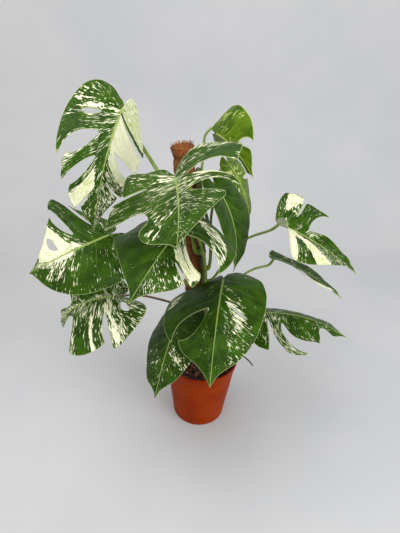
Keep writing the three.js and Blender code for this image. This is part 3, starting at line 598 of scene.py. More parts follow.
# Shader building
class Graph:
    """A material's nodes, made one call at a time."""

    def __init__(self, name):
        self.material = bpy.data.materials.new(name)
        self.material.use_nodes = True
        self.tree = self.material.node_tree
        self.shader = self.tree.nodes["Principled BSDF"]

    def put(self, socket, value):
        if isinstance(value, bpy.types.NodeSocket):
            self.tree.links.new(value, socket)
        else:
            socket.default_value = value

    def add(self, kind, inputs, **settings):
        """A new node with its settings and its inputs, by name or number; gives its outputs."""
        node = self.tree.nodes.new("ShaderNode" + kind)
        for key, setting in settings.items():
            setattr(node, key, setting)
        for key, value in inputs.items():
            self.put(node.inputs[key], value)
        return node.outputs

    def attribute(self, name, output="Vector"):
        return self.add("Attribute", {}, attribute_name=name)[output]

    def parts(self, vector):
        return self.add("SeparateXYZ", {0: vector})

    def join(self, x, y, z):
        return self.add("CombineXYZ", {0: x, 1: y, 2: z})[0]

    def place(self):
        return self.add("TexCoord", {})["Object"]

    def math(self, operation, first, second=0.0, third=0.0):
        return self.add("Math", {0: first, 1: second, 2: third}, operation=operation)[0]

    def times(self, first, second, plus=None):
        if plus is None:
            return self.math("MULTIPLY", first, second)
        return self.math("MULTIPLY_ADD", first, second, plus)

    def noise(self, vector, scale, detail=2.0, roughness=0.5):
        inputs = {"Vector": vector, "Scale": scale, "Detail": detail, "Roughness": roughness}
        return self.add("TexNoise", inputs)["Fac"]

    def spread(self, value, low, high, to_low=0.0, to_high=1.0):
        inputs = {
            "Value": value, "From Min": low, "From Max": high, "To Min": to_low, "To Max": to_high,
        }
        return self.add("MapRange", inputs, interpolation_type="SMOOTHSTEP")["Result"]

    def blend(self, share, first, second):
        return self.add("Mix", {0: share, 6: first, 7: second}, data_type="RGBA")[2]

    def mottle(self, value, first, second, low=0.35, high=0.65):
        """Two colours, mixed by a noise."""
        return self.blend(self.spread(value, low, high), first, second)

    def over(self, colour, value, low, high, share, tint):
        """Lays up to a share of a tint over a colour where a value rises from low to high."""
        return self.blend(self.spread(value, low, high, 0.0, share), colour, tint)

    def stretch(self, vector, *scale):
        return self.add("Mapping", {"Vector": vector, "Scale": scale})[0]

    def bump(self, height, strength, distance):
        inputs = {"Strength": strength, "Distance": distance, "Height": height}
        self.put(self.shader.inputs["Normal"], self.add("Bump", inputs)[0])

    def finish(self, colour, roughness, **settings):
        self.put(self.shader.inputs["Base Color"], colour)
        self.put(self.shader.inputs["Roughness"], roughness)
        for key, value in settings.items():
            self.shader.inputs[key.replace("_", " ")].default_value = value
        return self.material


# Meshes
def mesh_object(name, points, faces, materials, attributes=(), kinds=None, sharp=45):
    """An object of points in mm. attributes are (name, one value for each face corner)."""
    mesh = bpy.data.meshes.new(name)
    mesh.from_pydata((np.asarray(points) * MM).tolist(), [], faces)
    for key, values in attributes:
        values = np.asarray(values, np.float32)
        kind, slot = ("FLOAT", "value") if values.ndim == 1 else ("FLOAT_VECTOR", "vector")
        mesh.attributes.new(key, kind, "CORNER").data.foreach_set(slot, values.ravel())
    for material in materials:
        mesh.materials.append(material)
    if kinds is not None:
        mesh.polygons.foreach_set("material_index", kinds)
    mesh.polygons.foreach_set("use_smooth", [True] * len(mesh.polygons))
    mesh.set_sharp_from_angle(angle=math.radians(sharp))
    mesh.update()
    made = bpy.data.objects.new(name, mesh)
    bpy.context.scene.collection.objects.link(made)
    return made


def dress(piece, node):
    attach(piece, "root")
    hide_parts(node)


def corners_of(faces):
    return np.concatenate([np.array(face) for face in faces])


# Curves and tubes
def catmull(points, share):
    """The point a share of the way along a smooth curve through points."""
    points = [np.asarray(point, float) for point in points]
    last = len(points) - 1
    place = min(max(share, 0.0), 1.0) * last
    i = min(int(place), last - 1)
    t = place - i
    before = points[i - 1] if i > 0 else 2 * points[0] - points[1]
    after = points[i + 2] if i + 2 <= last else 2 * points[last] - points[last - 1]
    ring = [before, points[i], points[i + 1], after]
    near, middle, far = [math.sqrt(np.linalg.norm(b - a)) for a, b in zip(ring, ring[1:])]
    a, b, c, d = ring
    start = ((b - a) / near - (c - a) / (near + middle) + (c - b) / middle) * middle
    end = ((c - b) / middle - (d - b) / (middle + far) + (d - c) / far) * middle
    return (
        b + start * t + (-3 * b + 3 * c - 2 * start - end) * t * t
        + (2 * b - 2 * c + start + end) * t ** 3
    )


def lengths_along(path):
    steps = np.linalg.norm(np.diff(path, axis=0), axis=1)
    return np.concatenate([[0], np.cumsum(steps)])


def spaced(points, count):
    """count + 1 points at equal steps along the smooth curve through points."""
    fine = np.array([catmull(points, i / CURVE_STEPS) for i in range(CURVE_STEPS + 1)])
    length = lengths_along(fine)
    wanted = np.linspace(0, length[-1], count + 1)
    return np.stack([np.interp(wanted, length, fine[:, k]) for k in range(3)], axis=1)


def rings_along(path, radii, sides):
    """Rings of points round a path, without twist, as one array."""
    ahead = unit(np.gradient(path, axis=0))
    across = np.cross(ahead[0], RING_START)
    rings = []
    turns = turns_round(sides)
    for i, centre in enumerate(path):
        across = unit(across - ahead[i] * np.dot(across, ahead[i]))
        up = np.cross(ahead[i], across)
        ring = np.outer(np.cos(turns), across) + np.outer(np.sin(turns), up)
        rings.append(centre + ring * radii[i])
    return np.array(rings)


def tube_faces(rings, sides, start=0):
    faces = []
    for i in range(rings - 1):
        low = start + i * sides
        for j in range(sides):
            k = (j + 1) % sides
            faces.append((low + j, low + k, low + sides + k, low + sides + j))
    faces.append(tuple(start + j for j in reversed(range(sides))))
    faces.append(tuple(start + (rings - 1) * sides + j for j in range(sides)))
    return faces


def tube_object(name, path, radii, sides, material):
    """A closed tube, capped at both ends; the radii given can round them off. Its "way" holds
    (share of its length, turn, radius).
    """
    rings = rings_along(path, radii, sides)
    faces = tube_faces(len(path), sides)
    share = np.repeat(np.linspace(0, 1, len(path)), sides)
    turn = np.tile(np.arange(sides) / sides, len(path))
    way = np.stack([share, turn, np.repeat(radii, sides)], axis=1)
    layers = [("way", way[corners_of(faces)])]
    return mesh_object(name, rings.reshape(-1, 3), faces, [material], layers, sharp=60)


# Leaf form, the same as in the part's source
def outline_of(leaf, which):
    """The outline's points with the changes of one side of a leaf."""
    points = np.array(OUTLINE, float)
    for place, across, along in leaf["reshape"][which]:
        points[place] += (across, along)
    return points


def outline_at(points, s, notch):
    last = len(points) - 1
    place = np.clip(s, 0, 1) * last
    i = np.minimum(place.astype(int), last - 1)
    t = (place - i)[..., None]
    a, b, c, d = (points[np.clip(i + k, 0, last)] for k in (-1, 0, 1, 2))
    both = 0.5 * (
        2 * b + (c - a) * t + (2 * a - 5 * b + 4 * c - d) * t ** 2
        + (3 * b - a - 3 * c + d) * t ** 3
    )
    x, y = both[..., 0], both[..., 1]
    return x, np.where(y < 0, y * notch, y)


def flat_point(points, s, root, t, half, length, notch):
    """Flat points (u across, v along) on the side veins, which bow from the rib to the margin."""
    x, y = outline_at(points, s, notch)
    end_u, end_v = x * half, y * length
    start_v = np.maximum(0, (root - VEIN_START) / (1 - VEIN_START)) ** VEIN_POWER * length
    reach = np.hypot(end_u, end_v - start_v)
    middle_v = (start_v + end_v) / 2 + VEIN_BOW * reach * np.minimum(s * BOW_START, 1)
    u = end_u * t * (1 - t) + end_u * t * t
    v = start_v * (1 - t) ** 2 + middle_v * 2 * t * (1 - t) + end_v * t * t
    return np.maximum(u, 0), v


def leaf_frame(leaf):
    base = np.array(leaf["base"], float)
    along = np.array(leaf["tip"], float) - base
    chord = np.linalg.norm(along)
    along = along / chord
    bearing, height = (math.radians(value) for value in leaf["face"])
    up = np.array([
        math.cos(height) * math.cos(bearing), math.cos(height) * math.sin(bearing),
        math.sin(height),
    ])
    up = unit(up - along * np.dot(up, along))
    turn = math.radians(leaf["droop"]) / 2
    forward = along * math.cos(turn) + up * math.sin(turn)
    normal = up * math.cos(turn) - along * math.sin(turn)
    return {
        "base": base, "forward": forward, "normal": normal,
        "right": np.cross(forward, normal), "length": chord * turn / math.sin(turn),
    }


def rib_turn(leaf, axes, v):
    return (math.radians(leaf["droop"]) / axes["length"] * v)[..., None]


def rib_normal(leaf, axes, v):
    turn = rib_turn(leaf, axes, v)
    return axes["normal"] * np.cos(turn) + axes["forward"] * np.sin(turn)


def bend(leaf, axes, side, u, v):
    """Flat points in the leaf's real shape."""
    which = 0 if side > 0 else 1
    length = axes["length"]
    share = v / length
    droop = math.radians(leaf["droop"]) / length
    turn = rib_turn(leaf, axes, v)
    roll = math.radians(leaf["roll"][which]) * ease((ROLL_FROM - share) / ROLL_SPAN)
    fold = math.radians(leaf["fold"][which]) + roll
    curl = math.radians(leaf["curl"][which]) / leaf["half"][which]
    across = (np.sin(fold) - np.sin(fold - curl * u)) / curl
    rise = (np.cos(fold - curl * u) - np.cos(fold)) / curl
    bow = leaf["sway"] * length * 4 * share * (1 - share)
    return (
        axes["base"] + axes["forward"] * np.sin(turn) / droop
        + axes["normal"] * (np.cos(turn) - 1) / droop
        + axes["right"] * (side * across + bow)[..., None]
        + rib_normal(leaf, axes, v) * rise[..., None]
    )


def surface_normal(leaf, axes, side, u, v, step=0.5):
    """The bent sheet's upper normal, drawn to the rib's own where the two sides meet."""
    across = bend(leaf, axes, side, u + step, v) - bend(leaf, axes, side, u - step, v)
    along = bend(leaf, axes, side, u, v + step) - bend(leaf, axes, side, u, v - step)
    near = ease(u / RIB_BLEND)[..., None]
    sheet = unit(np.cross(across, along) * side)
    return unit(rib_normal(leaf, axes, v) * (1 - near) + sheet * near)


def cut_share(cut, t):
    inner, outer = cut[1:3]
    return np.clip((t - inner) / max(outer - inner, 1e-6), 0, 1)


def cut_place(cut, t):
    return cut[0] + cut[5] * cut_share(cut, t) ** 2


def cut_half_width(cut, t):
    inner, outer, width, opening = cut[1:5]
    x = cut_share(cut, t)
    rounded = np.sqrt(np.clip(1 - (1 - np.minimum(x / CUT_END, 1)) ** 2, 0, 1))
    opened = 1 + (opening - 1) * ((x - CUT_END) / (1 - CUT_END)) ** 2
    taper = np.where(x < CUT_END, 1, opened)
    closed = (t <= inner) | ((t >= outer) & (outer < 1))
    return np.where(closed, 0, 0.5 * width * rounded * taper)


def corner_shift(cut, t, shift):
    """How far a cut that is open at the margin moves the corner of the lobe beside it."""
    is_open = cut[3] > 0 and cut[2] == 1
    return shift * cut_share(cut, t) ** 2 if is_open else 0


def row_places(leaf, which):
    """Shares along the side veins: finer near the rib, at the margin and at the cuts' ends."""
    rows = [*(np.arange(ROW_COUNT + 1) / ROW_COUNT) ** ROW_POWER, MARGIN_ROW]
    for pair in leaf["cuts"]:
        if pair[which] is None:
            continue
        inner, outer = pair[which][1:3]
        span = outer - inner
        rows += [inner, *(inner + share * span for share in CUT_START_ROWS)]
        if outer < 1:
            rows += [outer - CUT_END_ROW * span, outer]
    rows = np.unique(np.round(rows, 4))
    return rows[np.concatenate([[True], np.diff(rows) > ROW_LEAST])]


def blade_side(leaf, axes, side):
    """The grids of one side of a blade: columns run from the notch to the tip."""
    which = 0 if side > 0 else 1
    half, length = leaf["half"][which], axes["length"]
    points = outline_of(leaf, which)
    t = row_places(leaf, which)[None, :]
    knots = [[[place, 1, 1, 0, 0, 0]] * 2 for place in (0, 1)]
    for pair in leaf["cuts"]:
        knots.insert(-1, [
            cut if cut is not None else [pair[1 - k][0], pair[1 - k][1], 1, 0, 0, 0]
            for k, cut in enumerate(pair)
        ])
    grids = []
    for lobe, (near_pair, far_pair) in enumerate(zip(knots, knots[1:])):
        near, far = near_pair[which], far_pair[which]
        roots = [(pair[0][0] + pair[1][0]) / 2 for pair in (near_pair, far_pair)]
        span = roots[1] - roots[0]
        count = max(LEAST_COLUMNS, round(span * COLUMN_COUNT))
        veins = max(1, round(span * VEINS_PER_SIDE))
        q = (np.arange(count + 1) / count)[:, None]
        start = cut_place(near, t) + cut_half_width(near, t)
        end = cut_place(far, t) - cut_half_width(far, t)
        s = start + (end - start) * q
        root = roots[0] + span * q
        open_share = (1 - q) * cut_share(near, t) + q * cut_share(far, t)
        place = t * (1 + (leaf["reach"].get((which, lobe), 1) - 1) * open_share)
        place = place - corner_shift(
            near, t, CORNER_ROUND * (1 - q) ** 3 + CORNER_SOFT * (1 - q) ** 9)
        place = place + corner_shift(far, t, CORNER_HOOK * q ** 3 - CORNER_SOFT * q ** 12)
        u, v = flat_point(points, s, root, place, half, length, leaf["notch"])
        beyond = np.maximum(0, v / length - TIP_FROM) / (1 - TIP_FROM)
        v = v + TIP_LENGTH * beyond ** 2
        width = np.hypot(u[-1:] - u[:1], v[-1:] - v[:1]) + 0 * q
        edge = (1 - t) * np.hypot(u[:, -1:] - u[:, :1], v[:, -1:] - v[:, :1])
        for cut, away in ((near, q), (far, 1 - q)):
            if cut[3] > 0:
                inside = (t > cut[1]) & (t < cut[2] + (cut[2] == 1))
                edge = np.where(inside, np.minimum(edge, away * width), edge)
        grids.append({
            "u": u, "v": v, "s": near[0] + (far[0] - near[0]) * q + 0 * t, "t": place,
            "edge": edge, "phase": veins * q + 0 * t, "spacing": width / veins,
        })
    return grids


def paleness(name, side, s, t):
    marks = MARKS[name]
    pale = np.full(s.shape, float(marks["base"]))
    along_soft, out_soft = MARK_SOFT
    for low, high, inner, outer, amount, *slant in marks.get("right" if side > 0 else "left", []):
        along = s - sum(slant) * (t - (inner + outer) / 2)
        along = ease((along - low) / along_soft + 0.5) * ease((high - along) / along_soft + 0.5)
        out = ease((t - inner) / out_soft + 0.5) * ease((outer - t) / out_soft + 0.5)
        pale = pale + amount * along * out
    return pale


def relief(number, grid, length, side):
    """How far the upper face stands above the plain sheet, and how thick the blade is there."""
    u, v, s, t = (grid[key] for key in "uvst")
    share = np.clip(v / length, 0, 1)
    away = np.abs(grid["phase"] % 1 - 0.5) * 2
    quilt = (1 - (1 - away) ** QUILT_POWER) - QUILT_MIDDLE
    quilt = quilt * QUILT_HEIGHT * np.minimum(grid["spacing"] / QUILT_SPACING, 1)
    quilt = quilt * ease(t / QUILT_START) * (1 - QUILT_FADE * t)
    base_end, tip_end = WAVE_ENDS
    wave = WAVE_HEIGHT * t ** 2 * ease(s * base_end) * ease((1 - s) * tip_end)
    shift = WAVE_SHIFTS[0] * number + WAVE_SHIFTS[1] * side
    wave = wave * np.sin(2 * math.pi * (WAVE_COUNT * s + shift))
    ridge = bulge(RIB_RIDGE, u) * (1 - RIB_TAPER * share) * ease((v + 1) / RIB_START)
    keel = bulge(RIB_KEEL, u) * (1 - KEEL_TAPER * share)
    vein = bulge(VEIN_RIDGE, away) * ease(t / VEIN_RISE) * (1 - t)
    thick = BLADE_THICKNESS + (MARGIN_THICKNESS - BLADE_THICKNESS) * ease(t)
    return quilt + wave + ridge, thick + keel + vein + ridge


def blade_grids(number, name, leaf):
    """The points above and below the blade, its quads, and each point's values for the shader."""
    axes = leaf_frame(leaf)
    tops, lows, quads, values = [], [], [], []
    count = 0
    for side in (1, -1):
        for grid in blade_side(leaf, axes, side):
            u, v = grid["u"], grid["v"]
            sheet = bend(leaf, axes, side, u, v)
            normal = surface_normal(leaf, axes, side, u, v)
            height, thick = relief(number, grid, axes["length"], side)
            tops.append((sheet + normal * height[..., None]).reshape(-1, 3))
            lows.append((sheet + normal * (height - thick)[..., None]).reshape(-1, 3))
            columns, rows = u.shape
            index = count + np.arange(columns * rows).reshape(columns, rows)
            quad = np.stack([index[:-1, :-1], index[:-1, 1:], index[1:, 1:], index[1:, :-1]], -1)
            quad = quad.reshape(-1, 4)
            quads.append(quad[:, ::-1] if side > 0 else quad)
            which = np.full(u.shape, number * LEAF_NOISE_STEP + side * SIDE_NOISE_STEP)
            shade = [
                grid["s"], grid["t"], which, u * side, v, grid["edge"],
                grid["phase"], grid["spacing"], paleness(name, side, grid["s"], grid["t"]),
            ]
            shade = np.stack([np.broadcast_to(item, u.shape) for item in shade], -1)
            values.append(shade.reshape(-1, shade.shape[-1]))
            count += columns * rows
    return [np.concatenate(rows) for rows in (tops, lows, quads, values)]


def blade_object(number, name, leaf, materials):
    """The blade as one closed sheet: equal points joined, and a rim along every open edge."""
    tops, lows, quads, values = blade_grids(number, name, leaf)
    keys = np.round(np.hstack([tops, lows]), 3)
    _, first, weld = np.unique(keys, axis=0, return_index=True, return_inverse=True)
    weld = weld.ravel()
    total = len(first)
    faces, corners, kinds = [], [], []
    border = {}
    for quad in quads.tolist():
        ring = []
        for corner in quad:
            if weld[corner] not in [weld[other] for other in ring]:
                ring.append(corner)
        if len(ring) < 3:
            continue
        faces.append([weld[corner] for corner in ring])
        faces.append([weld[corner] + total for corner in reversed(ring)])
        corners += ring + ring[::-1]
        kinds += [0, 1]
        for a, b in zip(ring, ring[1:] + ring[:1]):
            if border.pop((weld[b], weld[a]), None) is None:
                border[(weld[a], weld[b])] = (a, b)
    for a, b in border.values():
        faces.append([weld[a], weld[a] + total, weld[b] + total, weld[b]])
        corners += [a, a, b, b]
        kinds.append(1)
    points = np.concatenate([tops[first], lows[first]])
    shade = values[corners]
    layers = [("streak", shade[:, 0:3]), ("flat", shade[:, 3:6]), ("vein", shade[:, 6:9])]
    return mesh_object(f"blade_{name}", points, faces, materials, layers, kinds, sharp=50)


# Stalks, stem and root
def pole_axis(height):
    foot, top = np.array(POLE_FOOT, float), np.array(POLE_TOP, float)
    return foot + (top - foot) * (height - foot[2]) / (top[2] - foot[2])


def stem_points():
    points = []
    for i in range(STEM_WAYPOINTS):
        share = i / (STEM_WAYPOINTS - 1)
        height = STEM_FOOT_HEIGHT + (STEM_TOP_HEIGHT - STEM_FOOT_HEIGHT) * share
        turn = math.radians(STEM_START_TURN + (STEM_END_TURN - STEM_START_TURN) * share)
        out = np.array([math.cos(turn), math.sin(turn), 0])
        points.append(pole_axis(height) + STEM_REACH * out)
    return points


def stem_at(points, height):
    span = STEM_TOP_HEIGHT - STEM_FOOT_HEIGHT
    return catmull(points, (height - STEM_FOOT_HEIGHT) / span)


def leave_stem(stem, height, aim):
    """The stem's middle at a height, and the level way from there to what it carries."""
    node = stem_at(stem, height)
    out = np.array(aim, float) - node
    out[2] = 0
    return node, unit(out)


def stalk_path(leaf, stem):
    radius = leaf["radius"]
    node, out = leave_stem(stem, leaf["node"], leaf["stalk"][0])
    start = node + out * (STEM_RADIUS - 1)
    ahead, rise = STALK_GUIDE
    guide = node + out * (STEM_RADIUS + ahead * radius) + np.array([0, 0, rise * radius])
    axes = leaf_frame(leaf)
    lean = math.radians(leaf["approach"])
    seat = bend(leaf, axes, 1, np.array(0.0), np.array(float(radius)))
    seat = seat - axes["normal"] * (SEAT_DEPTH + radius * math.sin(lean))
    back = -axes["normal"] * math.cos(lean) - axes["forward"] * math.sin(lean)
    lead = seat + back * KNEE_LENGTH * radius
    knee = seat + back * KNEE_BEND * radius
    return [start, guide, *leaf["stalk"], knee, lead, seat]


def stalk_object(name, leaf, stem, material):
    steps, sides = STALK_GRID
    path = spaced(stalk_path(leaf, stem), steps)
    way = lengths_along(path)
    left = way[-1] - way
    swelling = (1 + bulge(SHEATH, way)) * (1 + bulge(KNEE, left))
    taper = STALK_TAPER[0] - STALK_TAPER[1] * way / way[-1]
    end_length, end_least = STALK_END
    close = 1 - (1 - np.minimum(left / end_length, 1)) ** 2
    radii = leaf["radius"] * swelling * taper * np.sqrt(np.clip(close, end_least, 1))
    return tube_object(f"petiole_{name}", path, radii, sides, material)


def stem_object(stem, nodes, material):
    steps, sides = STEM_GRID
    path = spaced(stem, steps)
    radii = np.full(len(path), float(STEM_RADIUS))
    for node in nodes:
        radii += bulge(NODE_SWELL, path[:, 2] - node)
        radii -= bulge(NODE_WAIST, path[:, 2] - node)
    radii[-len(STEM_END):] *= STEM_END
    return tube_object("vine_stem", path, radii, sides, material)


def root_object(stem, material):
    steps, sides = ROOT_GRID
    node, out = leave_stem(stem, ROOT_NODE, ROOT_WAY[0])
    start = node + out * (STEM_RADIUS - 1)
    guide = node + out * (STEM_RADIUS + ROOT_GUIDE)
    path = spaced([start, guide, *ROOT_WAY], steps)
    way = np.linspace(0, 1, len(path))
    for axis, amount, waves, shift in ROOT_WIGGLES:
        path[:, axis] += amount * np.sin(way * waves + shift) * way
    knot_height, knots = ROOT_KNOTS
    radii = ROOT_RADIUS * (ROOT_TAPER[0] - ROOT_TAPER[1] * way) + knot_height * np.sin(way * knots)
    radii[-len(ROOT_END):] *= ROOT_END
    return tube_object("hanging_root", path, radii, sides, material)


# Pole
def pole_frame():
    foot, top = np.array(POLE_FOOT, float), np.array(POLE_TOP, float)
    up = unit(top - foot)
    across = unit(np.cross([0, 1, 0], up))
    return foot, up, across, np.cross(up, across), np.linalg.norm(top - foot)


def on_pole(height, turn, radius):
    """Points at a height along the pole, a turn round it and a radius from its axis."""
    foot, up, across, away, _ = pole_frame()
    ring = np.cos(turn)[..., None] * across + np.sin(turn)[..., None] * away
    return foot + height[..., None] * up + ring * radius[..., None]


def pole_radius(height, turn, length):
    """The wrap's uneven radius: bound in below the top, and a little loose above the binding."""
    left = length - height
    bound = 1 - bulge(BINDING, left)
    loose = 1 + bulge(LOOSE_TOP, left)
    amount, turns, rise, cross_turns, cross_rise = WIDE_LUMPS
    lumps = amount * np.sin(turns * turn + height * rise)
    lumps = lumps * np.cos(cross_turns * turn - height * cross_rise)
    amount, turns, rise, cross_rise = FINE_LUMPS
    lumps = lumps + amount * np.sin(turns * turn - height * rise) * np.sin(height * cross_rise)
    return POLE_RADIUS * bound * loose - WRAP_INSET + lumps


def pole_object(material):
    length = pole_frame()[4]
    heights = np.linspace(0, length - 1, POLE_RINGS + 1)
    turns = turns_round(POLE_SIDES)
    height, turn = np.meshgrid(heights, turns, indexing="ij")
    side = on_pole(height, turn, pole_radius(height, turn, length))
    crown = []
    for share in POLE_CROWN:
        lift = np.full(POLE_SIDES, length + CROWN_RISE * (1 - share))
        crown.append(on_pole(lift, turns, share * pole_radius(lift, turns, length)))
    rings = np.concatenate([side, np.array(crown)])
    faces = tube_faces(len(rings), POLE_SIDES)
    return mesh_object("coir_wrap", rings.reshape(-1, 3), faces, [material], sharp=70)


def fibres_object(name, height, turn, radius, thickness, material, luck):
    """Thin three-sided fibres on the pole, given as (fibre, step) arrays, as one mesh."""
    paths = on_pole(height, turn, radius)
    outward = on_pole(height, turn, radius + 1) - paths
    count, steps = paths.shape[:2]
    radii = luck.uniform(*thickness, count)
    ahead = unit(np.gradient(paths, axis=1))
    beside = unit(np.cross(ahead, outward))
    above = np.cross(beside, ahead)
    taper = np.ones(steps)
    taper[0], taper[-1] = FIBRE_ENDS
    thick = radii[:, None, None] * taper[None, :, None]
    rings = np.stack([
        paths + thick * (math.cos(corner) * beside + math.sin(corner) * above)
        for corner in (math.pi / 2, math.pi * 7 / 6, math.pi * 11 / 6)
    ], axis=2)
    faces = []
    for i in range(count):
        faces += tube_faces(steps, 3, i * steps * 3)
    chance = np.repeat(luck.random(count), steps * 3)
    layers = [("chance", chance[corners_of(faces)])]
    return mesh_object(name, rings.reshape(-1, 3), faces, [material], layers, sharp=180)


def wrap_fibres(material):
    luck = np.random.default_rng(WRAP_SEED)
    length = pole_frame()[4]
    steps = np.linspace(0, 1, FIBRE_STEPS)[None, :]
    each = (FIBRE_COUNT, 1)
    low = luck.uniform(POLE_BARE_FOOT, length - WRAP_TOP_GAP, each)
    start = luck.uniform(0, 2 * math.pi, each)
    rise = luck.normal(0, FIBRE_RISE, each)
    swing = luck.normal(0, FIBRE_SWING, each)
    wander = luck.normal(0, FIBRE_WANDER, (FIBRE_COUNT, FIBRE_STEPS))
    height = np.clip(low + rise * steps, POLE_BARE_FOOT, length - 1)
    turn = start + swing * steps + wander
    is_stray = luck.random(each) < STRAY_SHARE
    stray = np.where(is_stray, luck.uniform(*STRAY_LIFTS, each), LYING_LIFT)
    lift = stray * np.abs(steps - LIFT_START) ** LIFT_POWER
    radius = pole_radius(height, turn, length) + FIBRE_GAP + lift
    return fibres_object("coir_fibres", height, turn, radius, FIBRE_RADII, material, luck)


def tuft_fibres(material):
    """The loose fibres at the pole's top."""
    luck = np.random.default_rng(TUFT_SEED)
    each = (TUFT_COUNT, 1)
    steps = np.linspace(0, 1, FIBRE_STEPS)[None, :]
    start = luck.uniform(0, 2 * math.pi, each)
    ring = np.sqrt(luck.uniform(TUFT_MIDDLE, 1, each))
    height = pole_frame()[4] - TUFT_DEPTH + luck.uniform(*TUFT_HEIGHTS, each) * steps
    turn = start + luck.normal(0, TUFT_SWING, each) * steps
    radius = POLE_RADIUS * ring * (1 + luck.uniform(*TUFT_SPREAD, each) * steps ** 2)
    return fibres_object("coir_tuft", height, turn, radius, TUFT_RADII, material, luck)


# Soil
def wall_radius(z):
    slope = (POT_TOP_RADIUS - RIM_STEP - POT_BASE_RADIUS) / POT_HEIGHT
    return POT_BASE_RADIUS + slope * z


def inner_radius(z):
    return wall_radius(z) - POT_WALL - SOIL_GAP


def soil_height(x, y):
    edge = np.minimum(np.hypot(x, y) / inner_radius(SOIL_TOP), 1)
    wide, deep, fine, cross = CLOD_WAVES
    clods = np.sin(x * wide + CLOD_SHIFT[0]) * np.cos(y * deep - CLOD_SHIFT[1])
    clods = clods + CLOD_DETAIL * np.sin(x * fine - y * cross)
    wide, bent, deep = CRUMB_WAVES
    crumbs = CRUMB_HEIGHT * np.sin(x * wide + 2 * np.sin(y * bent))
    crumbs = crumbs * np.sin(y * deep + CRUMB_SHIFT)
    return SOIL_TOP + (SOIL_BUMP * clods + crumbs) * np.sqrt(1 - edge)


def soil_object(material):
    turns = turns_round(SOIL_SIDES)
    floor = POT_FLOOR + SOIL_GAP
    rings = [level_ring(inner_radius(floor) * share, turns, floor) for share in SOIL_FLOOR]
    for i in range(SOIL_RINGS, -1, -1):
        ring = level_ring(inner_radius(SOIL_TOP) * max(i / SOIL_RINGS, SOIL_MIDDLE), turns, 0)
        ring[:, 2] = soil_height(ring[:, 0], ring[:, 1])
        rings.append(ring)
    faces = tube_faces(len(rings), SOIL_SIDES)
    return mesh_object("bark_mix", np.concatenate(rings), faces, [material], sharp=60)


def chip_shape(luck, size):
    """A lumpy chip of bark or perlite: a cube's faces split in three, pushed out unevenly."""
    points, faces = [], []
    found = {}
    for axis in range(3):
        for end in (-1, 1):
            grid = []
            for a in CHIP_MARKS:
                row = []
                for b in CHIP_MARKS:
                    point = [0, 0, 0]
                    point[axis], point[(axis + 1) % 3], point[(axis + 2) % 3] = end, a, b
                    key = tuple(point)
                    if key not in found:
                        found[key] = len(points)
                        points.append(point)
                    row.append(found[key])
                grid.append(row)
            for i in range(3):
                for j in range(3):
                    quad = (grid[i][j], grid[i + 1][j], grid[i + 1][j + 1], grid[i][j + 1])
                    faces.append(quad if end > 0 else quad[::-1])
    points = np.array(points, float)
    points = points / np.linalg.norm(points, axis=1)[:, None] ** CHIP_ROUND
    points *= 1 + CHIP_LUMPS * luck.normal(0, 1, (len(points), 1))
    return points * size / 2, faces


def scatter_object(name, count, sizes, heights, material, seed, keep_off):
    """Chips strewn over the soil, clear of the pot's wall and of what stands in the soil."""
    luck = np.random.default_rng(seed)
    points, faces, chance = [], [], []
    total = 0
    while len(points) < count:
        reach = inner_radius(SOIL_TOP) * math.sqrt(luck.random()) * SCATTER_REACH
        turn = luck.uniform(0, 2 * math.pi)
        x, y = reach * math.cos(turn), reach * math.sin(turn)
        size = luck.uniform(*sizes)
        if any(math.hypot(x - cx, y - cy) < gap for cx, cy, gap in keep_off):
            continue
        if reach + size / 2 > inner_radius(SOIL_TOP):
            continue
        dims = np.array([size, size * luck.uniform(*CHIP_WIDTHS), size * luck.uniform(*heights)])
        shape, quads = chip_shape(luck, dims)
        tilt = Matrix.Rotation(luck.uniform(0, 2 * math.pi), 3, "Z")
        for axis, amount in zip("XY", CHIP_TILTS):
            tilt = tilt @ Matrix.Rotation(luck.normal(0, amount), 3, axis)
        shape = shape @ np.array(tilt).T
        z = float(soil_height(np.array(x), np.array(y))) + dims[2] * luck.uniform(*CHIP_RISES)
        points.append(shape + np.array([x, y, z]))
        faces += [[corner + total for corner in quad] for quad in quads]
        chance += [luck.random()] * (4 * len(quads))
        total += len(shape)
    layers = [("chance", np.array(chance))]
    return mesh_object(name, np.concatenate(points), faces, [material], layers, sharp=38)


# Pot
def drain_cutter(material):
    points, faces = [], []
    for i in range(DRAIN_COUNT):
        turn = 2 * math.pi * i / DRAIN_COUNT
        middle = (DRAIN_CIRCLE * math.cos(turn), DRAIN_CIRCLE * math.sin(turn))
        for z in (-DRAIN_REACH, POT_FLOOR + DRAIN_REACH):
            points.append(level_ring(DRAIN_RADIUS, turns_round(DRAIN_SIDES), z, middle))
        faces += tube_faces(2, DRAIN_SIDES, i * 2 * DRAIN_SIDES)
    return mesh_object("drain_cutter", np.concatenate(points), faces, [material], sharp=35)


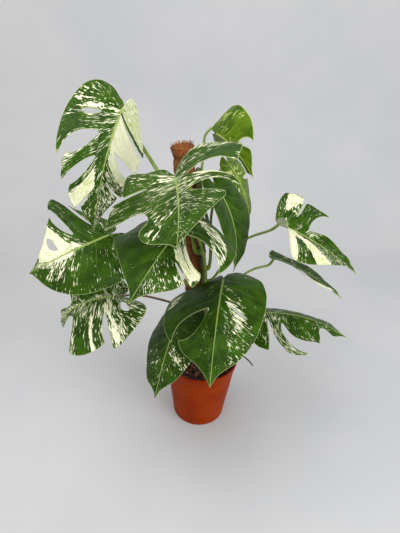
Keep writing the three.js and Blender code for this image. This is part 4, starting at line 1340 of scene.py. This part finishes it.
def pot_object(material):
    low = POT_HEIGHT - RIM_HEIGHT
    foot_gap, rim_gap = WALL_ENDS
    corner_in, corner_up = FLOOR_CORNER
    inside = POT_TOP_RADIUS - POT_WALL - RIM_STEP
    profile = [(POT_MIDDLE, FOOT[0][1])]
    profile += [(POT_BASE_RADIUS + out, z) for out, z in FOOT]
    profile += [(wall_radius(z), z) for z in np.linspace(foot_gap, low - rim_gap, OUTSIDE_RINGS)]
    profile += [(wall_radius(low) + out, low + rise) for out, rise in SHOULDER]
    profile += [(POT_TOP_RADIUS + out, POT_HEIGHT + rise) for out, rise in LIP_OUTSIDE]
    profile += [(inside + out, POT_HEIGHT + rise) for out, rise in LIP_INSIDE]
    profile += [
        (wall_radius(z) - POT_WALL, z)
        for z in np.linspace(low - INSIDE_GAP, POT_FLOOR + corner_up, INSIDE_RINGS)
    ]
    profile += [(wall_radius(POT_FLOOR) - POT_WALL - corner_in, POT_FLOOR), (POT_MIDDLE, POT_FLOOR)]
    rings = [level_ring(radius, turns_round(POT_SIDES), z) for radius, z in profile]
    faces = tube_faces(len(rings), POT_SIDES)
    shell = mesh_object("pot_shell", np.concatenate(rings), faces, [material], sharp=35)
    cutter = drain_cutter(material)
    cut = shell.modifiers.new("drains", "BOOLEAN")
    cut.operation = "DIFFERENCE"
    cut.solver = "EXACT"
    cut.object = cutter
    bpy.context.view_layer.update()
    done = bpy.data.meshes.new_from_object(
        shell.evaluated_get(bpy.context.evaluated_depsgraph_get()))
    shell.modifiers.clear()
    shell.data = done
    done.name = "pot_shell"
    bpy.data.objects.remove(cutter)
    return shell


# Materials
def vein_line(graph, phase, spacing, width):
    """1 on a side vein's middle line and 0 beyond width mm of it."""
    share = graph.math("FRACT", phase)
    away = graph.math("ABSOLUTE", graph.math("SUBTRACT", share, 0.5))
    return graph.spread(graph.times(away, spacing), 0.0, width, 1.0, 0.0)


def pattern_level(graph, s, t, which, spacing):
    """How near each spot is to turning cream, before its blade's own paleness is added."""
    def along_veins(across, out, detail, roughness):
        place = graph.join(graph.times(s, across), graph.times(t, out), which)
        return graph.noise(place, 1.0, detail, roughness)

    def even_width(across, out, detail, roughness):
        """Noise as wide near the rib, where the veins run together, as it is at the margin."""
        narrow, middle, wide = [
            along_veins(across * share, out, detail, roughness) for share in (0.25, 0.5, 1.0)]
        inner = graph.blend(graph.spread(spacing, *NARROW_LIMITS), narrow, middle)
        return graph.blend(graph.spread(spacing, *WIDE_LIMITS), inner, wide)

    layers = []
    for kind, rows in ((even_width, (STREAKS, FLECKS)), (along_veins, (STRIPES, PATCHES))):
        layers += [(kind(*shape), weight) for *shape, weight in rows]
    streaks, flecks, *broad = layers
    level = graph.times(*streaks, graph.times(*flecks))
    for layer in broad:
        level = graph.times(*layer, level)
    return graph.math("SUBTRACT", level, PATTERN_MIDDLE)


def blade_material(name, tones, under):
    """Green with cream streaks along the side veins; under is how far the colours fade below."""
    graph = Graph(name)
    s, t, which = graph.parts(graph.attribute("streak"))
    u, v, edge = graph.parts(graph.attribute("flat"))
    phase, spacing, pale = graph.parts(graph.attribute("vein"))
    level = graph.math("ADD", pattern_level(graph, s, t, which, spacing), pale)

    plain = graph.join(u, v, which)
    cloud = graph.noise(plain, scale=0.035, detail=3.0)
    green = graph.mottle(cloud, tones["deep"], tones["green"])
    green = graph.over(green, graph.noise(plain, scale=0.6), 0.4, 0.75, 0.35, tones["light"])
    if under:
        green = graph.blend(under, green, tones["under"])
    cream = graph.spread(level, *CREAM_LIMITS)
    marbled = graph.times(
        graph.spread(level, *MARBLE_LIMITS), graph.spread(level, *WHITE_LIMITS, 1.0, WHITE_REST))
    tint = graph.noise(plain, scale=0.05)
    marbled = graph.times(marbled, graph.spread(tint, 0.3, 0.55, 0.35, 1.0))
    pale_colour = graph.blend(marbled, tones["cream"], tones["cream_green"])
    halo = graph.times(graph.spread(level, *HALO_LIMITS), HALO_SHARE)
    colour = graph.blend(cream, graph.blend(halo, green, tones["halo"]), pale_colour)

    lines = vein_line(graph, phase, spacing, VEIN_LINE)
    lines = graph.times(lines, graph.spread(t, 0.02, 0.9, 0.5, 0.12))
    colour = graph.blend(lines, colour, tones["vein"])
    rib = graph.math("DIVIDE", graph.math("ABSOLUTE", u), graph.spread(v, *RIB_LINE))
    rib = graph.times(graph.spread(rib, 0.55, 1.1, 1.0, 0.0), graph.spread(v, 0.0, RIB_START))
    colour = graph.blend(graph.times(rib, RIB_SHARE), colour, tones["rib"])
    rim = graph.spread(edge, *RIM_LIMITS, tones["rim_share"], 0.0)
    colour = graph.blend(rim, colour, tones["rim"])

    rough = tones["rough"]
    gloss = graph.times(cream, 0.06, graph.spread(cloud, 0.3, 0.7, rough - 0.05, rough + 0.06))
    skin = graph.noise(graph.place(), scale=900.0)
    folds = graph.noise(plain, scale=0.12, detail=3.0)
    height = graph.times(folds, 3.0, graph.times(skin, 0.35))
    height = graph.math("SUBTRACT", height, graph.times(lines, 0.8))
    graph.bump(height, strength=0.35, distance=0.0006)
    return graph.finish(colour, gloss, Specular_IOR_Level=0.12)


MATURE = {
    "deep": linear(24, 53, 2), "green": linear(48, 83, 5), "light": linear(94, 130, 26),
    "halo": linear(146, 172, 96), "cream": linear(250, 248, 216),
    "cream_green": linear(196, 208, 136), "vein": linear(120, 150, 80),
    "rib": linear(158, 180, 96), "rim": linear(176, 190, 128), "rim_share": 0.75,
    "under": linear(132, 156, 104), "rough": 0.42,
}
FRESH = {
    **MATURE,
    "deep": linear(54, 88, 4), "green": linear(92, 124, 12), "light": linear(126, 152, 34),
    "halo": linear(168, 194, 80), "cream": linear(214, 220, 140), "vein": linear(160, 190, 70),
    "rib": linear(176, 196, 90), "rim": linear(190, 204, 100), "under": linear(150, 178, 90),
    "rough": 0.38,
}


def stalk_material(name, green, dark, pale):
    graph = Graph(name)
    share, turn, _ = graph.parts(graph.attribute("way"))
    place = graph.place()
    blotch = graph.noise(place, scale=60.0, detail=3.0)
    angle = graph.times(turn, 2 * math.pi)
    round_way = graph.join(
        graph.times(share, 6.0), graph.math("COSINE", angle), graph.math("SINE", angle))
    lines = graph.noise(round_way, scale=5.0, detail=3.0)
    specks = graph.noise(place, scale=420.0)
    colour = graph.mottle(blotch, green, dark)
    colour = graph.over(colour, lines, 0.5, 0.7, 0.6, pale)
    colour = graph.over(colour, specks, 0.6, 0.75, 0.5, pale)
    colour = graph.over(colour, share, 0.9, 1.0, 0.5, pale)
    graph.bump(graph.times(lines, 1.0, specks), strength=0.3, distance=0.0004)
    return graph.finish(colour, graph.spread(blotch, 0.3, 0.7, 0.4, 0.55))


def stem_material():
    graph = Graph("stem_skin")
    share, turn, radius = graph.parts(graph.attribute("way"))
    blotch = graph.noise(graph.place(), scale=45.0, detail=4.0)
    rings = graph.noise(graph.join(graph.times(share, 150.0), turn, 0.0), scale=1.0)
    colour = graph.mottle(blotch, linear(84, 98, 44), linear(58, 70, 34))
    colour = graph.over(colour, rings, 0.52, 0.7, 0.6, linear(112, 100, 62))
    colour = graph.over(colour, radius, 7.3, 8.1, 0.7, linear(98, 76, 46))
    graph.bump(graph.times(rings, 0.7, blotch), strength=0.4, distance=0.0008)
    return graph.finish(colour, graph.spread(blotch, 0.3, 0.7, 0.5, 0.68))


def root_material():
    graph = Graph("root_bark")
    blotch = graph.noise(graph.place(), scale=120.0, detail=4.0)
    colour = graph.mottle(blotch, linear(62, 42, 28), linear(98, 72, 48))
    graph.bump(blotch, strength=0.5, distance=0.0006)
    return graph.finish(colour, graph.spread(blotch, 0.3, 0.7, 0.7, 0.85))


def coir_material(name, dark, brown, light):
    graph = Graph(name)
    place = graph.place()
    blotch = graph.noise(place, scale=24.0, detail=3.0)
    threads = graph.noise(graph.stretch(place, 700.0, 700.0, 160.0), scale=1.0, detail=3.0)
    colour = graph.mottle(blotch, dark, brown, 0.3, 0.7)
    colour = graph.blend(graph.spread(threads, 0.4, 0.58, 0.65, 0.0), colour, dark)
    colour = graph.over(colour, graph.attribute("chance", "Fac"), 0.4, 1.0, 0.9, light)
    graph.bump(threads, strength=0.7, distance=0.0012)
    return graph.finish(colour, graph.spread(threads, 0.3, 0.7, 0.78, 0.92))


def soil_material(name, dark, brown, pale, roughness):
    graph = Graph(name)
    place = graph.place()
    blotch = graph.noise(place, scale=110.0, detail=4.0)
    layers = graph.noise(graph.stretch(place, 260.0, 260.0, 900.0), scale=1.0, detail=3.0)
    colour = graph.mottle(blotch, dark, brown)
    colour = graph.over(colour, graph.attribute("chance", "Fac"), 0.4, 1.0, 0.7, pale)
    colour = graph.over(colour, layers, 0.55, 0.75, 0.4, pale)
    graph.bump(graph.math("ADD", blotch, layers), strength=0.6, distance=0.0012)
    return graph.finish(colour, graph.spread(blotch, 0.3, 0.7, roughness - 0.1, roughness))


def pot_material():
    graph = Graph("pot_plastic")
    place = graph.place()
    cloud = graph.noise(place, scale=14.0, detail=3.0)
    scuffs = graph.noise(graph.stretch(place, 60.0, 60.0, 18.0), 1.0, 4.0, 0.65)
    grain = graph.noise(place, scale=1600.0)
    colour = graph.mottle(cloud, linear(138, 42, 0), linear(152, 54, 0))
    colour = graph.over(colour, scuffs, 0.58, 0.75, 0.35, linear(180, 78, 8))
    # Painted shade: the pot's colour darkens over its lowest 12 mm, where it stands on the floor.
    low = graph.spread(graph.parts(place)[2], 0.0, 0.012, 0.35, 0.0)
    colour = graph.blend(low, colour, linear(120, 48, 16))
    graph.bump(graph.times(scuffs, 1.5, grain), strength=0.18, distance=0.0004)
    rough = graph.spread(scuffs, 0.35, 0.75, 0.42, 0.6)
    return graph.finish(colour, rough, Specular_IOR_Level=0.05)


def stage_material(name, colour, shade, roughness):
    graph = Graph(name)
    cloud = graph.noise(graph.place(), scale=2.2, detail=4.0)
    return graph.finish(graph.mottle(cloud, colour, shade, 0.3, 0.7), roughness)


# Build
leaves = {name: {**PLAIN_LEAF, **leaf} for name, leaf in LEAVES.items()}
mature_skins = [
    blade_material("blade_top", MATURE, 0.0), blade_material("blade_under", MATURE, 0.4),
]
fresh_skins = [
    blade_material("new_blade_top", FRESH, 0.0), blade_material("new_blade_under", FRESH, 0.3),
]
stalk_green = stalk_material(
    "stalk_skin", linear(124, 146, 46), linear(92, 114, 34), linear(168, 184, 84))
stalk_brown = stalk_material(
    "stalk_brown_skin", linear(120, 96, 58), linear(84, 62, 38), linear(150, 140, 84))

stem = stem_points()
nodes = sorted(leaf["node"] for leaf in leaves.values())
dress(stem_object(stem, nodes, stem_material()), "climbing_stem")
dress(root_object(stem, root_material()), "air_root")
for number, (name, leaf) in enumerate(leaves.items()):
    new = name in NEW_LEAVES
    blade = blade_object(number, name, leaf, fresh_skins if new else mature_skins)
    dress(blade, f"leaf_{name}")
    skin = stalk_brown if name in BROWN_STALKS else stalk_green
    dress(stalk_object(name, leaf, stem, skin), f"stalk_{name}")

coir = coir_material("coir", linear(92, 46, 14), linear(166, 96, 34), linear(226, 164, 86))
for make_coir in (pole_object, wrap_fibres, tuft_fibres):
    dress(make_coir(coir), "coir_pole")

soil = soil_material("soil", linear(34, 20, 14), linear(70, 40, 28), linear(128, 80, 56), 0.95)
perlite = soil_material(
    "perlite", linear(168, 156, 142), linear(206, 198, 186), linear(226, 220, 210), 0.9)
keep_off = [
    (*middle[:2], radius + SCATTER_GAP)
    for middle, radius in (
        (pole_axis(SOIL_TOP), POLE_RADIUS), (stem_at(stem, SOIL_TOP), STEM_RADIUS))
]
dress(soil_object(soil), "soil")
dress(
    scatter_object("bark_chips", CHIP_COUNT, CHIP_SIZES, CHIP_HEIGHTS, soil, CHIP_SEED, keep_off),
    "soil")
dress(
    scatter_object(
        "perlite", PERLITE_COUNT, PERLITE_SIZES, PERLITE_HEIGHTS, perlite, PERLITE_SEED, keep_off),
    "soil")
dress(pot_object(pot_material()), "pot")


# Stage
def sweep_object():
    """A floor that curves up into a backdrop."""
    material = stage_material("sweep", linear(204, 204, 206), linear(196, 197, 200), 0.85)
    radius = SWEEP_RADIUS
    run = [(-SWEEP_FRONT, 0.0), (SWEEP_BACK - radius, 0.0)]
    for i in range(1, SWEEP_STEPS + 1):
        turn = math.pi / 2 * i / SWEEP_STEPS
        run.append((
            SWEEP_BACK - radius + radius * math.sin(turn), radius - radius * math.cos(turn)))
    run.append((SWEEP_BACK, SWEEP_HEIGHT))
    points = np.array([(x, y, z) for y, z in run for x in (-SWEEP_SIDE, SWEEP_SIDE)]) / MM
    faces = [(2 * i, 2 * i + 1, 2 * i + 3, 2 * i + 2) for i in range(len(run) - 1)]
    mesh_object("sweep", points, faces, [material], sharp=180)


def add_camera():
    yaw, pitch, roll = (
        math.radians(value) for value in (CAMERA_YAW, CAMERA_PITCH, CAMERA_ROLL))
    ahead = np.array([
        math.sin(yaw) * math.cos(pitch), math.cos(yaw) * math.cos(pitch), -math.sin(pitch),
    ])
    right = np.array([math.cos(yaw), -math.sin(yaw), 0])
    down = np.cross(ahead, right)
    across = right * math.cos(roll) + down * math.sin(roll)
    below = down * math.cos(roll) - right * math.sin(roll)
    lens = bpy.data.cameras.new("camera")
    lens.sensor_width = SENSOR
    lens.lens = FOCAL_PIXELS * SENSOR / FRAME_HEIGHT
    lens.clip_start, lens.clip_end = CLIP_RANGE
    camera = bpy.data.objects.new("camera", lens)
    place = [value * MM for value in CAMERA_PLACE]
    camera.matrix_world = axes_matrix(place, across, -below, -ahead)
    bpy.context.scene.collection.objects.link(camera)
    bpy.context.scene.camera = camera


def add_light(name, place, size, power, colour):
    light = bpy.data.lights.new(name, "AREA")
    light.size = size
    light.energy = power
    light.color = colour
    made = bpy.data.objects.new(name, light)
    away = unit(np.array(place, float) - np.array(LIGHT_AIM, float))
    across = unit(np.cross([0, 1, 0.01], away))
    made.matrix_world = axes_matrix(place, across, np.cross(away, across), away)
    bpy.context.scene.collection.objects.link(made)


def add_world():
    world = bpy.data.worlds.new("studio")
    world.use_nodes = True
    background = world.node_tree.nodes["Background"]
    background.inputs["Color"].default_value = linear(244, 244, 242)
    background.inputs["Strength"].default_value = WORLD_STRENGTH
    bpy.context.scene.world = world


sweep_object()
add_camera()
add_world()
for name, light in LIGHTS.items():
    add_light(name, **light)
bpy.context.scene.view_settings.view_transform = "Standard"
